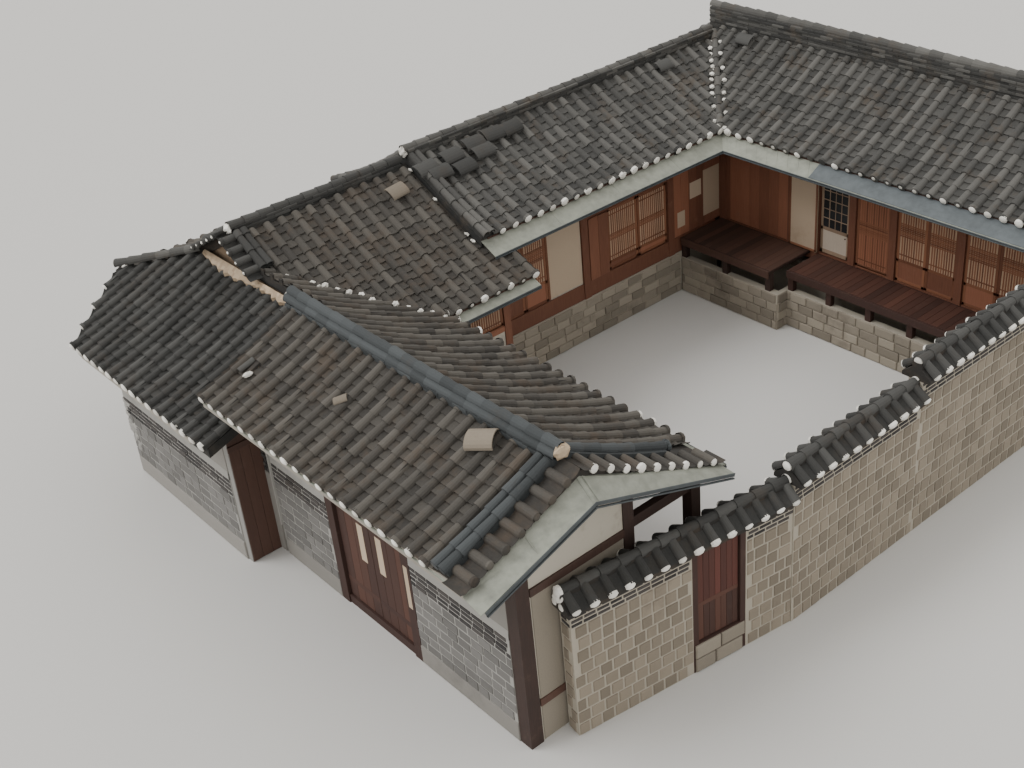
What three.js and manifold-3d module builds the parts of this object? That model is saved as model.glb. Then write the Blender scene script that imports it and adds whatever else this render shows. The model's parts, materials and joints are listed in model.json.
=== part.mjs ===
// An urban courtyard house with tiled roofs: a street wing, a back wing in two steps and a main wing
// stand round three sides of a yard, and a tile-capped garden wall with a side gate closes the fourth.
// X runs along the street, Y into the plot and Z up, in millimetres from the lowest street ground.
import * as THREE from 'three';
import { mergeVertices } from 'three/addons/utils/BufferGeometryUtils.js';
import Module from 'manifold-3d';

const wasm = await Module();
wasm.setup();

// Levels
const YARD = 750;
const FLOOR = YARD + 430;
const BASE_TOP = YARD + 110;
const SKY = 7000;
const GAP = 0.3;
const CUTTER_GROWTH = 3;

// Roofs: every slope runs from an eave to a ridge with a slight hollow
const ROOF_THICKNESS = 160;
const HOLLOW = 0.22;
const PROFILE_STEPS = 3;
const ridges = { frontY: -4500, backX: -4850, mainY: 7500 };
const slopes = {
  street: { eave: -6300, ridge: ridges.frontY, low: YARD + 2560, high: YARD + 3290 },
  yardFront: { eave: -2100, ridge: ridges.frontY, low: YARD + 2110, high: YARD + 3290 },
  left: { eave: -6520, ridge: -4125, low: YARD + 1890, high: YARD + 2810 },
  lowerIn: { eave: -2080, ridge: ridges.backX, low: YARD + 2110, high: YARD + 3500 },
  lowerOut: { eave: -7350, ridge: ridges.backX, low: YARD + 2300, high: YARD + 3500 },
  upperIn: { eave: -2900, ridge: ridges.backX, low: YARD + 2650, high: YARD + 3600 },
  upperOut: { eave: -7350, ridge: ridges.backX, low: YARD + 2360, high: YARD + 3600 },
  mainFront: { eave: 5330, ridge: ridges.mainY, low: YARD + 2650, high: YARD + 3790 },
  mainBack: { eave: 9670, ridge: ridges.mainY, low: YARD + 2420, high: YARD + 3790 },
};
const VERGE_RIGHT = 3750;
const STEP_X = -2300;
const GABLE_Y = -4120;
const BACK_STEP_Y = -590;
const LOWER_TUCK_X = -3000;
const LOWER_TUCK_Y = -150;
const INNER_VALLEY_Y = 7280;
const mainRidgeEnds = [-5050, 3500];
const hip = { top: [-5900, -4125], bottom: [-7350, -5100] };
const LEFT_VERGE_X = -6350;
const LEFT_ROOF_END = -2000;
const LEFT_TUCK_Y = -5560;

// Rows of round cover tiles stand on the slopes as ribs. Each run gives its slope, the axis that the
// rows are spread along, the first and last row's place, how many there are and how far short of the
// ridge they end
const row = { width: 130, crown: 72, height: 85, bedded: 25 };
const RIDGE_SIDE = 151;
const tileRows = {
  front: [
    { slope: 'street', spread: 'x', first: -2185, last: 3020, count: 20, short: RIDGE_SIDE },
    { slope: 'yardFront', spread: 'x', first: -3980, last: 3020, count: 27, short: RIDGE_SIDE },
  ],
  left: [{ slope: 'left', spread: 'x', first: -7120, last: -2090, count: 20, short: 0 }],
  lower: [
    { slope: 'lowerIn', spread: 'y', first: -3784, last: -752, count: 12, short: RIDGE_SIDE },
    { slope: 'lowerIn', spread: 'y', first: -476, last: -200, count: 2, short: 1990 },
    { slope: 'lowerOut', spread: 'y', first: -5020, last: -4210, count: 4, short: RIDGE_SIDE },
    { slope: 'lowerOut', spread: 'y', first: -3940, last: -3940, count: 1, short: 960 },
    { slope: 'lowerOut', spread: 'y', first: -3670, last: -700, count: 12, short: RIDGE_SIDE },
  ],
  upper: [
    { slope: 'upperIn', spread: 'y', first: -165, last: 6917, count: 26, short: RIDGE_SIDE },
    { slope: 'upperOut', spread: 'y', first: -165, last: 7227, count: 27, short: RIDGE_SIDE },
    { slope: 'upperOut', spread: 'y', first: 7511, last: 9501, count: 8, short: 240 },
  ],
  main: [
    { slope: 'mainFront', spread: 'x', first: -4635, last: 3420, count: 30, short: RIDGE_SIDE },
    { slope: 'mainBack', spread: 'x', first: -7136, last: 3420, count: 39, short: RIDGE_SIDE },
  ],
};

// Walls
const WALL = 200;
const PANEL = 120;
const streetY = -5500;
const leftStreetY = -6050;
const returnX = -2450;
const partyLeft = [-6100, -6050];
const outerX = -6750;
const outerStartY = -4900;
const gableX = 3600;
const cornerPost = 220;
const lowerWallX = -2850;
const lowerWallEndY = -180;
const upperWallX = -3500;
const frontYardWallY = -2900;
const mainWallY = 5950;
const mainBackWallY = 9000;

// Doors
const LEAF_GAP = 16;
const PIN_RADIUS = 18;
const SILL_GAP = 10;
const gate = { left: -720, right: 1280, post: 180, low: 150, high: YARD + 1450, leaf: 45, lintel: 180 };
const sideGate = { near: -3010, width: 900, low: 500, high: YARD + 1290, leaf: 40, post: 90 };
const doorway = { left: -1020, right: -330, low: FLOOR + 10, high: YARD + 2000 };
const paperedLeaf = { width: 660, thickness: 30, y: 5900 };
const backDoors = { from: 2830, to: 4440, low: FLOOR + 10, high: YARD + 1720, leaf: 35 };

// Garden wall: a turned stretch beside the street wing, then two straight stretches that step up
const gardenThickness = 240;
const gardenTurn = THREE.MathUtils.degToRad(-8.5);
const gardenStart = [3740, -4890];
const gardenLength = 3640;
const gardenStraightX = 4290;
const gardenSteps = [
  { name: 'garden_wall_middle', from: -1330, to: 1450 - GAP, top: YARD + 1640 },
  { name: 'garden_wall_far', from: 1450, to: 6100, back: gableX - 40 + GAP, top: YARD + 1940 },
];
const gardenTop = YARD + 1400;
const cap = { overhang: 120, edge: 60, rise: 190, ridge: 90, ridgeWidth: 150 };

const colours = {
  tile: 0x55534f, newTile: 0x3b444d, plaster: 0xb9b3a6, stone: 0x8d8a84, wood: 0x5a2c1c,
  darkWood: 0x3a2118, metal: 0x7f8a85, paper: 0xd8d2c4, lattice: 0x6a3a26, mortar: 0xb39a7c,
};

function finish(name) {
  const roughness = name === 'metal' ? 0.5 : 0.85;
  const metalness = name === 'metal' ? 0.6 : 0;
  return new THREE.MeshStandardMaterial({ color: colours[name], roughness, metalness });
}

// Geometry and solids
function solidOf(geometry) {
  const g = geometry.clone();
  g.deleteAttribute('normal');
  g.deleteAttribute('uv');
  const merged = mergeVertices(g, 1e-4);
  const vertProperties = new Float32Array(merged.attributes.position.array);
  const triVerts = new Uint32Array(merged.index.array);
  return new wasm.Manifold(new wasm.Mesh({ numProp: 3, vertProperties, triVerts }));
}

function geometryOf(solid) {
  const m = solid.getMesh();
  const g = new THREE.BufferGeometry();
  const points = new Float32Array((m.vertProperties.length / m.numProp) * 3);
  for (let i = 0; i < points.length / 3; i += 1) {
    for (let k = 0; k < 3; k += 1) points[3 * i + k] = m.vertProperties[i * m.numProp + k];
  }
  g.setAttribute('position', new THREE.BufferAttribute(points, 3));
  g.setIndex(new THREE.BufferAttribute(new Uint32Array(m.triVerts), 1));
  g.computeVertexNormals();
  return g;
}

function boxGeometry(x0, x1, y0, y1, z0, z1) {
  const g = new THREE.BoxGeometry(x1 - x0, y1 - y0, z1 - z0);
  return g.translate((x0 + x1) / 2, (y0 + y1) / 2, (z0 + z1) / 2);
}

function box(...sides) {
  return solidOf(boxGeometry(...sides));
}

function shapeOf(points) {
  return new THREE.Shape(points.map(([u, v]) => new THREE.Vector2(u, v)));
}

function prism(points, depth) {
  return new THREE.ExtrudeGeometry(shapeOf(points), { depth, bevelEnabled: false });
}

// An outline in plan, raised from z0 to z1
function inPlan(points, z0, z1) {
  return solidOf(prism(points, z1 - z0).translate(0, 0, z0));
}

// An outline given as (y, z), carried along X
function alongX(points, x0, x1) {
  const turn = new THREE.Matrix4().makeBasis(
    new THREE.Vector3(0, 1, 0), new THREE.Vector3(0, 0, 1), new THREE.Vector3(1, 0, 0));
  return solidOf(prism(points, x1 - x0).applyMatrix4(turn).translate(x0, 0, 0));
}

// An outline given as (x, z), carried along Y
function alongY(points, y0, y1) {
  const turn = new THREE.Matrix4().makeBasis(
    new THREE.Vector3(1, 0, 0), new THREE.Vector3(0, 0, 1), new THREE.Vector3(0, -1, 0));
  return solidOf(prism(points, y1 - y0).applyMatrix4(turn).translate(0, y1, 0));
}

function joined(solids) {
  return solids.reduce((a, b) => a.add(b));
}

// Height of a slope's tiled face at a place between its eave and its ridge
function heightAt(slope, place) {
  const t = (place - slope.eave) / (slope.ridge - slope.eave);
  return slope.low + (slope.high - slope.low) * (t * (1 - HOLLOW) + HOLLOW * t * t);
}

function slopePoints(slope, drop, from = slope.eave, to = slope.ridge) {
  const points = [];
  for (let i = 0; i <= PROFILE_STEPS; i += 1) {
    const place = from + ((to - from) * i) / PROFILE_STEPS;
    points.push([place, heightAt(slope, place) - drop]);
  }
  return points;
}

// Closed outline between the roof's face and its underside, over one slope or two that share a ridge
function roofOutline(parts, top, bottom) {
  const face = parts.flatMap((points) => points);
  const upper = face.map(([u, z]) => [u, top === null ? z : top]);
  const under = face.map(([u, z]) => [u, z - bottom]).reverse();
  return [...(top === null ? upper : [upper[0], upper[upper.length - 1]]), ...under];
}

function gablePair(a, b) {
  return [...slopePoints(a, 0), ...slopePoints(b, 0).reverse().slice(1)];
}

// Plan outlines of the roofs
const plans = {
  front: [
    [STEP_X, slopes.street.eave], [VERGE_RIGHT, slopes.street.eave], [VERGE_RIGHT, slopes.yardFront.eave],
    [slopes.lowerIn.eave + GAP, slopes.yardFront.eave], [-4100 + GAP, GABLE_Y], [STEP_X, GABLE_Y],
  ],
  left: [
    [LEFT_VERGE_X, slopes.left.eave], [LEFT_ROOF_END, slopes.left.eave], [LEFT_ROOF_END, LEFT_TUCK_Y],
    [STEP_X - 1, LEFT_TUCK_Y], [STEP_X - 1, slopes.left.ridge], [hip.top[0] + 1, hip.top[1]],
    [hip.bottom[0] + 1, hip.bottom[1]],
  ],
  lower: [
    [slopes.lowerIn.eave, LOWER_TUCK_Y], [LOWER_TUCK_X, LOWER_TUCK_Y], [LOWER_TUCK_X, BACK_STEP_Y - GAP],
    [slopes.lowerOut.eave, BACK_STEP_Y - GAP],
    [hip.bottom[0], hip.bottom[1] + 2], [hip.top[0], hip.top[1] + 2], [hip.top[0], GABLE_Y],
    [-4100, GABLE_Y], [slopes.lowerIn.eave, slopes.yardFront.eave],
  ],
  upper: [
    [slopes.upperIn.eave, BACK_STEP_Y], [slopes.upperIn.eave, slopes.mainFront.eave - GAP],
    [ridges.backX, INNER_VALLEY_Y - GAP], [ridges.backX - GAP, ridges.mainY],
    [slopes.upperOut.eave, slopes.mainBack.eave - GAP], [slopes.upperOut.eave, BACK_STEP_Y],
  ],
  main: [
    [slopes.upperIn.eave, slopes.mainFront.eave], [VERGE_RIGHT, slopes.mainFront.eave],
    [VERGE_RIGHT, slopes.mainBack.eave], [slopes.upperOut.eave, slopes.mainBack.eave],
    [ridges.backX, ridges.mainY], [ridges.backX, INNER_VALLEY_Y],
  ],
};

function ccw(points) {
  const area = points.reduce((sum, [x, y], i) => {
    const [u, v] = points[(i + 1) % points.length];
    return sum + x * v - u * y;
  }, 0);
  return area > 0 ? points : [...points].reverse();
}

// An outline moved outward by a distance on every side, with sharp corners
function outset(points, distance) {
  const ring = ccw(points);
  return ring.map(([x, y], i) => {
    const [px, py] = ring[(i + ring.length - 1) % ring.length];
    const [nx, ny] = ring[(i + 1) % ring.length];
    const a = new THREE.Vector2(x - px, y - py).normalize();
    const b = new THREE.Vector2(nx - x, ny - y).normalize();
    const k = distance / (1 + a.dot(b));
    return [x + (a.y + b.y) * k, y - (a.x + b.x) * k];
  });
}

// With top null these give the roof itself, else all the space above its underside, grown a little
function cutToPlan(solid, name, top) {
  const plan = top === null ? plans[name] : outset(plans[name], CUTTER_GROWTH);
  return solid.intersect(inPlan(ccw(plan), -10, SKY + 10));
}

function frontRoof(top, bottom) {
  const pair = gablePair(slopes.street, slopes.yardFront);
  const whole = alongX(roofOutline([pair], top, bottom), STEP_X - 1, VERGE_RIGHT + 1);
  const wing = slopePoints(slopes.yardFront, 0, slopes.yardFront.eave, GABLE_Y - 1);
  const behind = alongX(roofOutline([wing], top, bottom), -4400, STEP_X);
  return cutToPlan(whole.add(behind), 'front', top);
}

function leftRoof(top, bottom) {
  const outline = roofOutline([slopePoints(slopes.left, 0)], top, bottom);
  return cutToPlan(alongX(outline, slopes.lowerOut.eave - 1, LEFT_ROOF_END + 1), 'left', top);
}

function lowerRoof(top, bottom) {
  const pair = gablePair(slopes.lowerOut, slopes.lowerIn);
  const run = alongY(roofOutline([pair], top, bottom), hip.bottom[1] - 1, LOWER_TUCK_Y + 1);
  return cutToPlan(run, 'lower', top);
}

function upperRoof(top, bottom) {
  const pair = gablePair(slopes.upperOut, slopes.upperIn);
  const run = alongY(roofOutline([pair], top, bottom), BACK_STEP_Y - 1, slopes.mainBack.eave);
  return cutToPlan(run, 'upper', top);
}

function mainRoof(top, bottom) {
  const pair = gablePair(slopes.mainFront, slopes.mainBack);
  const run = alongX(roofOutline([pair], top, bottom), slopes.upperOut.eave - 1, VERGE_RIGHT + 1);
  return cutToPlan(run, 'main', top);
}

// One row of cover tiles: its section carried up the slope and bedded a little into the face
function tileRow({ slope, spread, short }, place) {
  const { width, crown, height, bedded } = row;
  const section = [[-width / 2, -bedded], [width / 2, -bedded], [crown / 2, height], [-crown / 2, height]];
  const fall = slopes[slope];
  const top = fall.ridge + Math.sign(fall.eave - fall.ridge) * short;
  const start = Math.min(fall.eave, top);
  const depth = Math.abs(fall.eave - top);
  const g = new THREE.ExtrudeGeometry(shapeOf(section), { depth, steps: PROFILE_STEPS, bevelEnabled: false });
  const at = g.attributes.position;
  for (let i = 0; i < at.count; i += 1) {
    const away = start + at.getZ(i);
    const z = heightAt(fall, away) + at.getY(i);
    if (spread === 'x') at.setXYZ(i, place - at.getX(i), away, z);
    else at.setXYZ(i, away, place + at.getX(i), z);
  }
  return solidOf(g);
}

function tiled(roof, name) {
  const rows = tileRows[name].flatMap((run) => Array.from({ length: run.count }, (_, i) =>
    tileRow(run, run.first + ((run.last - run.first) * i) / Math.max(run.count - 1, 1))));
  return roof.add(joined(rows).intersect(inPlan(ccw(plans[name]), -10, SKY + 10)));
}

const roofs = {
  front_roof: tiled(frontRoof(null, ROOF_THICKNESS), 'front'),
  left_front_roof: tiled(leftRoof(null, ROOF_THICKNESS), 'left'),
  lower_back_roof: tiled(lowerRoof(null, ROOF_THICKNESS), 'lower'),
  upper_back_roof: tiled(upperRoof(null, ROOF_THICKNESS), 'upper'),
  main_roof: tiled(mainRoof(null, ROOF_THICKNESS), 'main'),
};
const overRoofs = [frontRoof, leftRoof, lowerRoof, upperRoof, mainRoof]
  .map((make) => make(SKY, ROOF_THICKNESS + GAP));

// A wall solid with its top cut to the underside of the roofs
function underRoofs(solid) {
  const cut = overRoofs.reduce((s, above) => s.subtract(above), solid);
  const parts = cut.decompose();
  return parts.reduce((best, p) => (p.volume() > best.volume() ? p : best));
}

function tallWall(x0, x1, y0, y1, z0 = 0) {
  return box(x0, x1, y0, y1, z0, YARD + 4200);
}

const house = new THREE.Group();

function put(name, solid, colour, parent = house) {
  const mesh = new THREE.Mesh(geometryOf(solid), finish(colour));
  mesh.name = name;
  parent.add(mesh);
  return mesh;
}

function addRoofs() {
  const group = new THREE.Group();
  for (const [name, solid] of Object.entries(roofs)) put(name, solid, 'tile', group);
  house.add(group);
}

// A built-up band that stands on a roof and is cut to the roof's face
function seated(solid) {
  const shifts = [[0, 0, GAP], [GAP, 0, 0], [-GAP, 0, 0], [0, GAP, 0], [0, -GAP, 0]];
  let out = solid;
  for (const roof of Object.values(roofs)) {
    for (const shift of shifts) out = out.subtract(roof.translate(...shift));
  }
  const parts = out.decompose();
  const tallest = (p) => p.boundingBox().max[2];
  return parts.reduce((best, p) => (tallest(p) > tallest(best) ? p : best));
}

function ridgeOutline(centre, base, width, height) {
  const w = width / 2;
  return [
    [centre - w, base - 110], [centre + w, base - 110], [centre + w, base + height * 0.62],
    [centre + w * 0.45, base + height], [centre - w * 0.45, base + height],
    [centre - w, base + height * 0.62],
  ];
}

// A band that runs down a slope beside a verge: outline (place, height) carried along the eave
function bandOutline(slope, from, to, height) {
  const face = slopePoints(slope, 0, from, to);
  const under = face.map(([u, z]) => [u, z - 60]).reverse();
  return [...face.map(([u, z]) => [u, z + height]), ...under];
}

function addFrontRidge() {
  const outline = ridgeOutline(ridges.frontY, slopes.street.high, 260, 250);
  const x0 = 3180;
  const x1 = 3450;
  const parts = [
    alongX(outline, STEP_X - 120, x1),
    alongX(bandOutline(slopes.street, ridges.frontY, slopes.street.eave + 60, 150), x0, x1),
    alongX(bandOutline(slopes.yardFront, ridges.frontY, -2750, 150), x0, x1),
  ];
  put('front_ridge', seated(joined(parts)), 'newTile');
}

function addLowerBackRidge() {
  const outline = ridgeOutline(ridges.backX, slopes.lowerIn.high, 240, 190);
  const verge = [GABLE_Y + 20, GABLE_Y + 240];
  const parts = [
    alongY(outline, verge[0], BACK_STEP_Y - 130),
    alongY(bandOutline(slopes.lowerIn, ridges.backX, -4100, 150), ...verge),
    alongY(bandOutline(slopes.lowerOut, ridges.backX, -5800, 150), ...verge),
  ];
  put('lower_back_ridge', seated(joined(parts)), 'tile');
}

function addUpperBackRidge() {
  const outline = ridgeOutline(ridges.backX, slopes.upperIn.high, 250, 220);
  const verge = [BACK_STEP_Y + 10, BACK_STEP_Y + 250];
  const parts = [
    alongY(outline, BACK_STEP_Y + 10, 7130),
    alongY(bandOutline(slopes.upperIn, ridges.backX, slopes.upperIn.eave - 60, 140), ...verge),
    alongY(bandOutline(slopes.upperOut, ridges.backX, slopes.upperOut.eave + 60, 140), ...verge),
  ];
  put('upper_back_ridge', seated(joined(parts)), 'tile');
}

function addMainRidge() {
  const outline = ridgeOutline(ridges.mainY, slopes.mainFront.high, 300, 400);
  const parts = [alongX(outline, ...mainRidgeEnds)];
  const from = VERGE_RIGHT - 240;
  const front = bandOutline(slopes.mainFront, ridges.mainY, slopes.mainFront.eave + 60, 150);
  const back = bandOutline(slopes.mainBack, ridges.mainY, slopes.mainBack.eave - 60, 150);
  parts.push(alongX(front, from, from + 230), alongX(back, from, from + 230));
  put('main_ridge', seated(joined(parts)), 'tile');
}

// Sheet-metal aprons that hang out under the eaves
function apron(eave, low, out, drop) {
  const s = Math.sign(out);
  const t = 14;
  return [[eave + s * GAP, low - 40], [eave + out, low - 40 - drop], [eave + out, low - 40 - drop - t],
    [eave + s * GAP, low - 40 - t]];
}

function addYardAprons() {
  const out = 350;
  const drop = 175;
  const s = slopes;
  const low = ccw(apron(s.lowerIn.eave, s.lowerIn.low, 200, 90));
  put('lower_back_apron', alongY(low, -1880, LOWER_TUCK_Y - 60), 'metal');
  const up = alongY(ccw(apron(s.upperIn.eave, s.upperIn.low, out, drop)), BACK_STEP_Y, s.mainFront.eave);
  const main = alongX(ccw(apron(s.mainFront.eave, s.mainFront.low, -out, drop)), s.upperIn.eave, VERGE_RIGHT);
  const [x, y] = [s.upperIn.eave, s.mainFront.eave];
  const reach = out + 10;
  const besideBack = [
    [x - 10, BACK_STEP_Y - 10], [x + reach, BACK_STEP_Y - 10], [x + reach, y - reach], [x - 10, y + 10],
  ];
  const besideMain = [
    [x - 10, y + 10], [x + reach, y - reach], [VERGE_RIGHT + 10, y - reach], [VERGE_RIGHT + 10, y + 10],
  ];
  const corner = up.intersect(inPlan(besideBack, 0, SKY)).add(main.intersect(inPlan(besideMain, 0, SKY)));
  put('yard_apron', corner, 'metal');
}

// A thin sheet between an inner and an outer edge, each a list of points
function sheetBetween(inner, outer, thickness) {
  const ring = [...inner, ...[...outer].reverse()];
  const n = ring.length;
  const points = [...ring, ...ring.map(([x, y, z]) => [x, y, z - thickness])].flat();
  const faces = [];
  for (let i = 0; i < inner.length - 1; i += 1) {
    const [a, b, c, d] = [i, i + 1, n - 2 - i, n - 1 - i];
    faces.push(a, c, b, a, d, c, a + n, b + n, c + n, a + n, c + n, d + n);
  }
  for (let i = 0; i < n; i += 1) {
    const j = (i + 1) % n;
    faces.push(i, j, j + n, i, j + n, i + n);
  }
  const g = new THREE.BufferGeometry();
  g.setAttribute('position', new THREE.BufferAttribute(new Float32Array(points), 3));
  g.setIndex(faces);
  return solidOf(g);
}

// The street wing's apron: narrow under both eaves and a broad sheet hung out from the gable
function addStreetApron() {
  const { street, yardFront } = slopes;
  const x = VERGE_RIGHT + GAP;
  const inner = [
    [x, street.eave - 60, street.low - 60], [x, ridges.frontY, street.high - 90],
    [x, yardFront.eave + 60, yardFront.low - 60],
  ];
  const outer = [
    [x + 310, street.eave - 60, street.low - 150], [x + 310, ridges.frontY - 30, street.high - 300],
    [x + 240, yardFront.eave + 60, yardFront.low - 80],
  ];
  const gable = sheetBetween(inner, outer, 14);
  const front = alongX(ccw(apron(street.eave, street.low, -40, 20)), STEP_X, VERGE_RIGHT);
  const yard = alongX(ccw(apron(yardFront.eave, yardFront.low, 160, 70)), -1900, VERGE_RIGHT);
  put('gable_apron', gable, 'metal');
  put('street_apron', front, 'metal');
  put('front_yard_apron', yard, 'metal');
}

function addStreetWalls() {
  const group = new THREE.Group();
  const wall = (x0, x1, y0) => underRoofs(tallWall(x0, x1, y0, y0 + WALL));
  put('left_street_wall', wall(partyLeft[0], returnX, leftStreetY), 'stone', group);
  const side = tallWall(returnX - PANEL, returnX, leftStreetY + WALL + GAP, streetY + WALL);
  put('left_return_wall', underRoofs(side), 'wood', group);
  put('street_wall_left', wall(returnX + GAP, gate.left, streetY), 'stone', group);
  put('street_wall_right', wall(gate.right, gableX - cornerPost - GAP, streetY), 'stone', group);
  const post = tallWall(gableX - cornerPost, gableX, streetY - 10, streetY + WALL);
  put('street_corner_post', underRoofs(post), 'darkWood', group);
  house.add(group);
}

// The blind walls toward the neighbours, one run round the left and the back
function addPartyWall() {
  const [x, y] = partyLeft;
  const [inner, back] = [outerX + WALL, mainBackWallY - WALL];
  const plan = [
    [x - GAP, y], [x - GAP, y + WALL + 60], [inner, outerStartY + 40], [inner, back], [gableX - 60, back],
    [gableX - 60, mainBackWallY], [outerX, mainBackWallY], [outerX, outerStartY],
  ];
  put('party_wall', underRoofs(inPlan(ccw(plan), 0, YARD + 4200)), 'plaster');
}

// The front wing's gable end: plastered wall, its post, and an open porch bay with a corner post
function addGableEnd() {
  const group = new THREE.Group();
  const x0 = gableX - PANEL;
  const postY = -3600;
  const wall = tallWall(x0, gableX - 20, streetY + WALL + GAP, postY - 90 - GAP);
  put('gable_wall', underRoofs(wall), 'plaster', group);
  const cornerY = -2440;
  const end = cornerY + 85;
  const parts = [
    tallWall(gableX - 200, gableX, postY - 90, postY + 90),
    tallWall(gableX - 180, gableX - 10, cornerY, end + 85),
    box(gableX - 150, gableX - 40, postY, end, YARD + 1740, YARD + 1900),
  ];
  put('porch_frame', underRoofs(joined(parts)), 'darkWood', group);
  house.add(group);
}

function addGableWallsAbove() {
  const low = YARD + 2150;
  const parts = [
    box(STEP_X + 30, STEP_X + 150, streetY + WALL + GAP, GABLE_Y + 180, YARD + 1500, YARD + 4200),
    box(hip.top[0] + 40, STEP_X + 31, GABLE_Y + 40, GABLE_Y + 180, low, YARD + 4200),
  ];
  put('roof_step_wall', underRoofs(joined(parts)), 'mortar');
}

// The back wing's timber frame to the yard, on its stone base, with the panels between its posts
function addBackWing() {
  const group = new THREE.Group();
  const x1 = upperWallX;
  const x0 = x1 - PANEL;
  const wide = 160;
  const [first, second, third] = [0, 2160, 4440];
  const end = mainWallY - 160;
  const rail = [YARD + 2200, YARD + 2380];
  put('back_wing_base', box(x0 - 30, x1 + 30, first, end, 0, BASE_TOP), 'stone', group);
  const foot = BASE_TOP + GAP;
  const frame = [first, second, third].map((y) => box(x0 - 20, x1 + 20, y, y + wide, foot, rail[1]));
  frame.push(box(x0, x1, first, end, ...rail));
  frame.push(box(x0, x1, first, end, foot, FLOOR));
  frame.push(box(x0, x1, second + 1, third + 1, backDoors.high + SILL_GAP, rail[0] + 1));
  frame.push(box(x0, x1, second + 1, backDoors.from, FLOOR - 1, backDoors.high + SILL_GAP + 1));
  put('back_wing_frame', underRoofs(joined(frame)), 'wood', group);
  const panel = (name, y0, y1, colour) =>
    put(name, box(x0 + 25, x1 - 25, y0 + GAP, y1 - GAP, FLOOR + GAP, rail[0] - GAP), colour, group);
  panel('back_wing_lattice', first + wide, 1290, 'lattice');
  panel('back_wing_plaster', 1290, second, 'plaster');
  panel('back_wing_end_boards', third + wide, end, 'wood');
  house.add(group);
}

// The low part of the back wing and the street wing's wall to the yard, either side of the gate passage
function addLowWingWalls() {
  const x0 = lowerWallX - PANEL;
  const y0 = frontYardWallY - PANEL;
  const runs = [
    tallWall(x0, lowerWallX, y0, lowerWallEndY),
    tallWall(upperWallX - PANEL, x0 + 1, lowerWallEndY - PANEL, lowerWallEndY),
    tallWall(x0, gate.left - 200, y0, frontYardWallY),
  ];
  put('lower_wing_wall', underRoofs(joined(runs)), 'wood');
  put('front_yard_wall', underRoofs(tallWall(gate.right + 200, 2700, y0, frontYardWallY)), 'wood');
}

function addMainWing() {
  const group = new THREE.Group();
  const y0 = mainWallY;
  const y1 = y0 + PANEL;
  const wide = 150;
  const left = upperWallX;
  const right = gableX - 40;
  const posts = [left, -1760, doorway.left - wide, doorway.right, 560, 1960, right - wide];
  const top = YARD + 2380;
  put('main_wing_base', box(left, right, y0 - 15, y1 + 15, 0, BASE_TOP), 'stone', group);
  const frame = posts.map((x) => box(x, x + wide, y0 - 20, y1 + 20, BASE_TOP + GAP, top));
  frame.push(box(left, right, y0, y1, YARD + 2200, top));
  frame.push(box(left, right, y0, y1, FLOOR - 180, FLOOR));
  frame.push(box(doorway.left, doorway.right, y0, y1, doorway.high + SILL_GAP, YARD + 2201));
  const eyeX = doorway.left - 20;
  const eye = (z0, z1) => box(eyeX - 22, eyeX + 22, paperedLeaf.y - 25, y0, z0, z1);
  frame.push(eye(doorway.low - 30, doorway.low));
  frame.push(eye(doorway.high + SILL_GAP, doorway.high + SILL_GAP + 30));
  put('main_wing_frame', underRoofs(joined(frame)), 'wood', group);
  const panel = (name, from, to, colour) =>
    put(name, box(from + GAP, to - GAP, y0 + 30, y1 - 40, FLOOR + GAP, YARD + 2200 - GAP), colour, group);
  panel('main_corner_boards', posts[0] + wide, posts[1], 'wood');
  panel('main_wall_panel', posts[1] + wide, posts[2], 'wood');
  panel('main_lattice_fixed', posts[3] + wide, posts[4], 'lattice');
  panel('main_lattice_pair_near', posts[4] + wide, posts[5], 'lattice');
  panel('main_lattice_pair_far', posts[5] + wide, posts[6], 'lattice');
  const endWall = tallWall(right - PANEL, right, y1 + 20 + GAP, mainBackWallY - WALL - GAP);
  put('main_end_wall', underRoofs(endWall), 'plaster', group);
  house.add(group);
}

function addFloors() {
  const group = new THREE.Group();
  const inner = outerX + WALL + GAP;
  const right = gableX - 40 - PANEL - GAP;
  const level = [FLOOR - 150, FLOOR - 20];
  const back = mainBackWallY - WALL - GAP;
  const frontLine = mainWallY + PANEL + 20 + GAP;
  put('main_wing_floor', box(inner, right, frontLine, back, ...level), 'darkWood', group);
  const side = upperWallX - PANEL - 20 - GAP;
  put('back_wing_floor', box(inner, side, GAP, frontLine - GAP, ...level), 'darkWood', group);
  const legs = (x0, x1, count, y) => Array.from({ length: count }, (_, i) => {
    const x = x0 + ((x1 - x0 - 120) * i) / (count - 1);
    return box(x, x + 120, y, y + 110, YARD + GAP, FLOOR - 59);
  });
  const deckSpan = [-1000, gableX - 60];
  const deck = [box(...deckSpan, 5030, mainWallY - 20 - GAP, FLOOR - 60, FLOOR - 10)];
  deck.push(...legs(...deckSpan, 6, 5060));
  put('deck', joined(deck), 'wood', group);
  const cornerSpan = [upperWallX + 30 + GAP, deckSpan[0] - 200];
  const corner = [box(...cornerSpan, 4750, mainWallY - 20 - GAP, FLOOR - 60, FLOOR - 10)];
  corner.push(...legs(...cornerSpan, 3, 4780));
  put('corner_deck', joined(corner), 'darkWood', group);
  const base = [
    box(deckSpan[0] - 100, deckSpan[1], 5040, 5190, 0, YARD),
    box(deckSpan[0] - 100, deckSpan[0], 4760, 5190, 0, YARD),
    box(cornerSpan[0] + 30, deckSpan[0], 4760, 4910, 0, YARD),
  ];
  put('deck_base', joined(base), 'stone', group);
  house.add(group);
}

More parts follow.
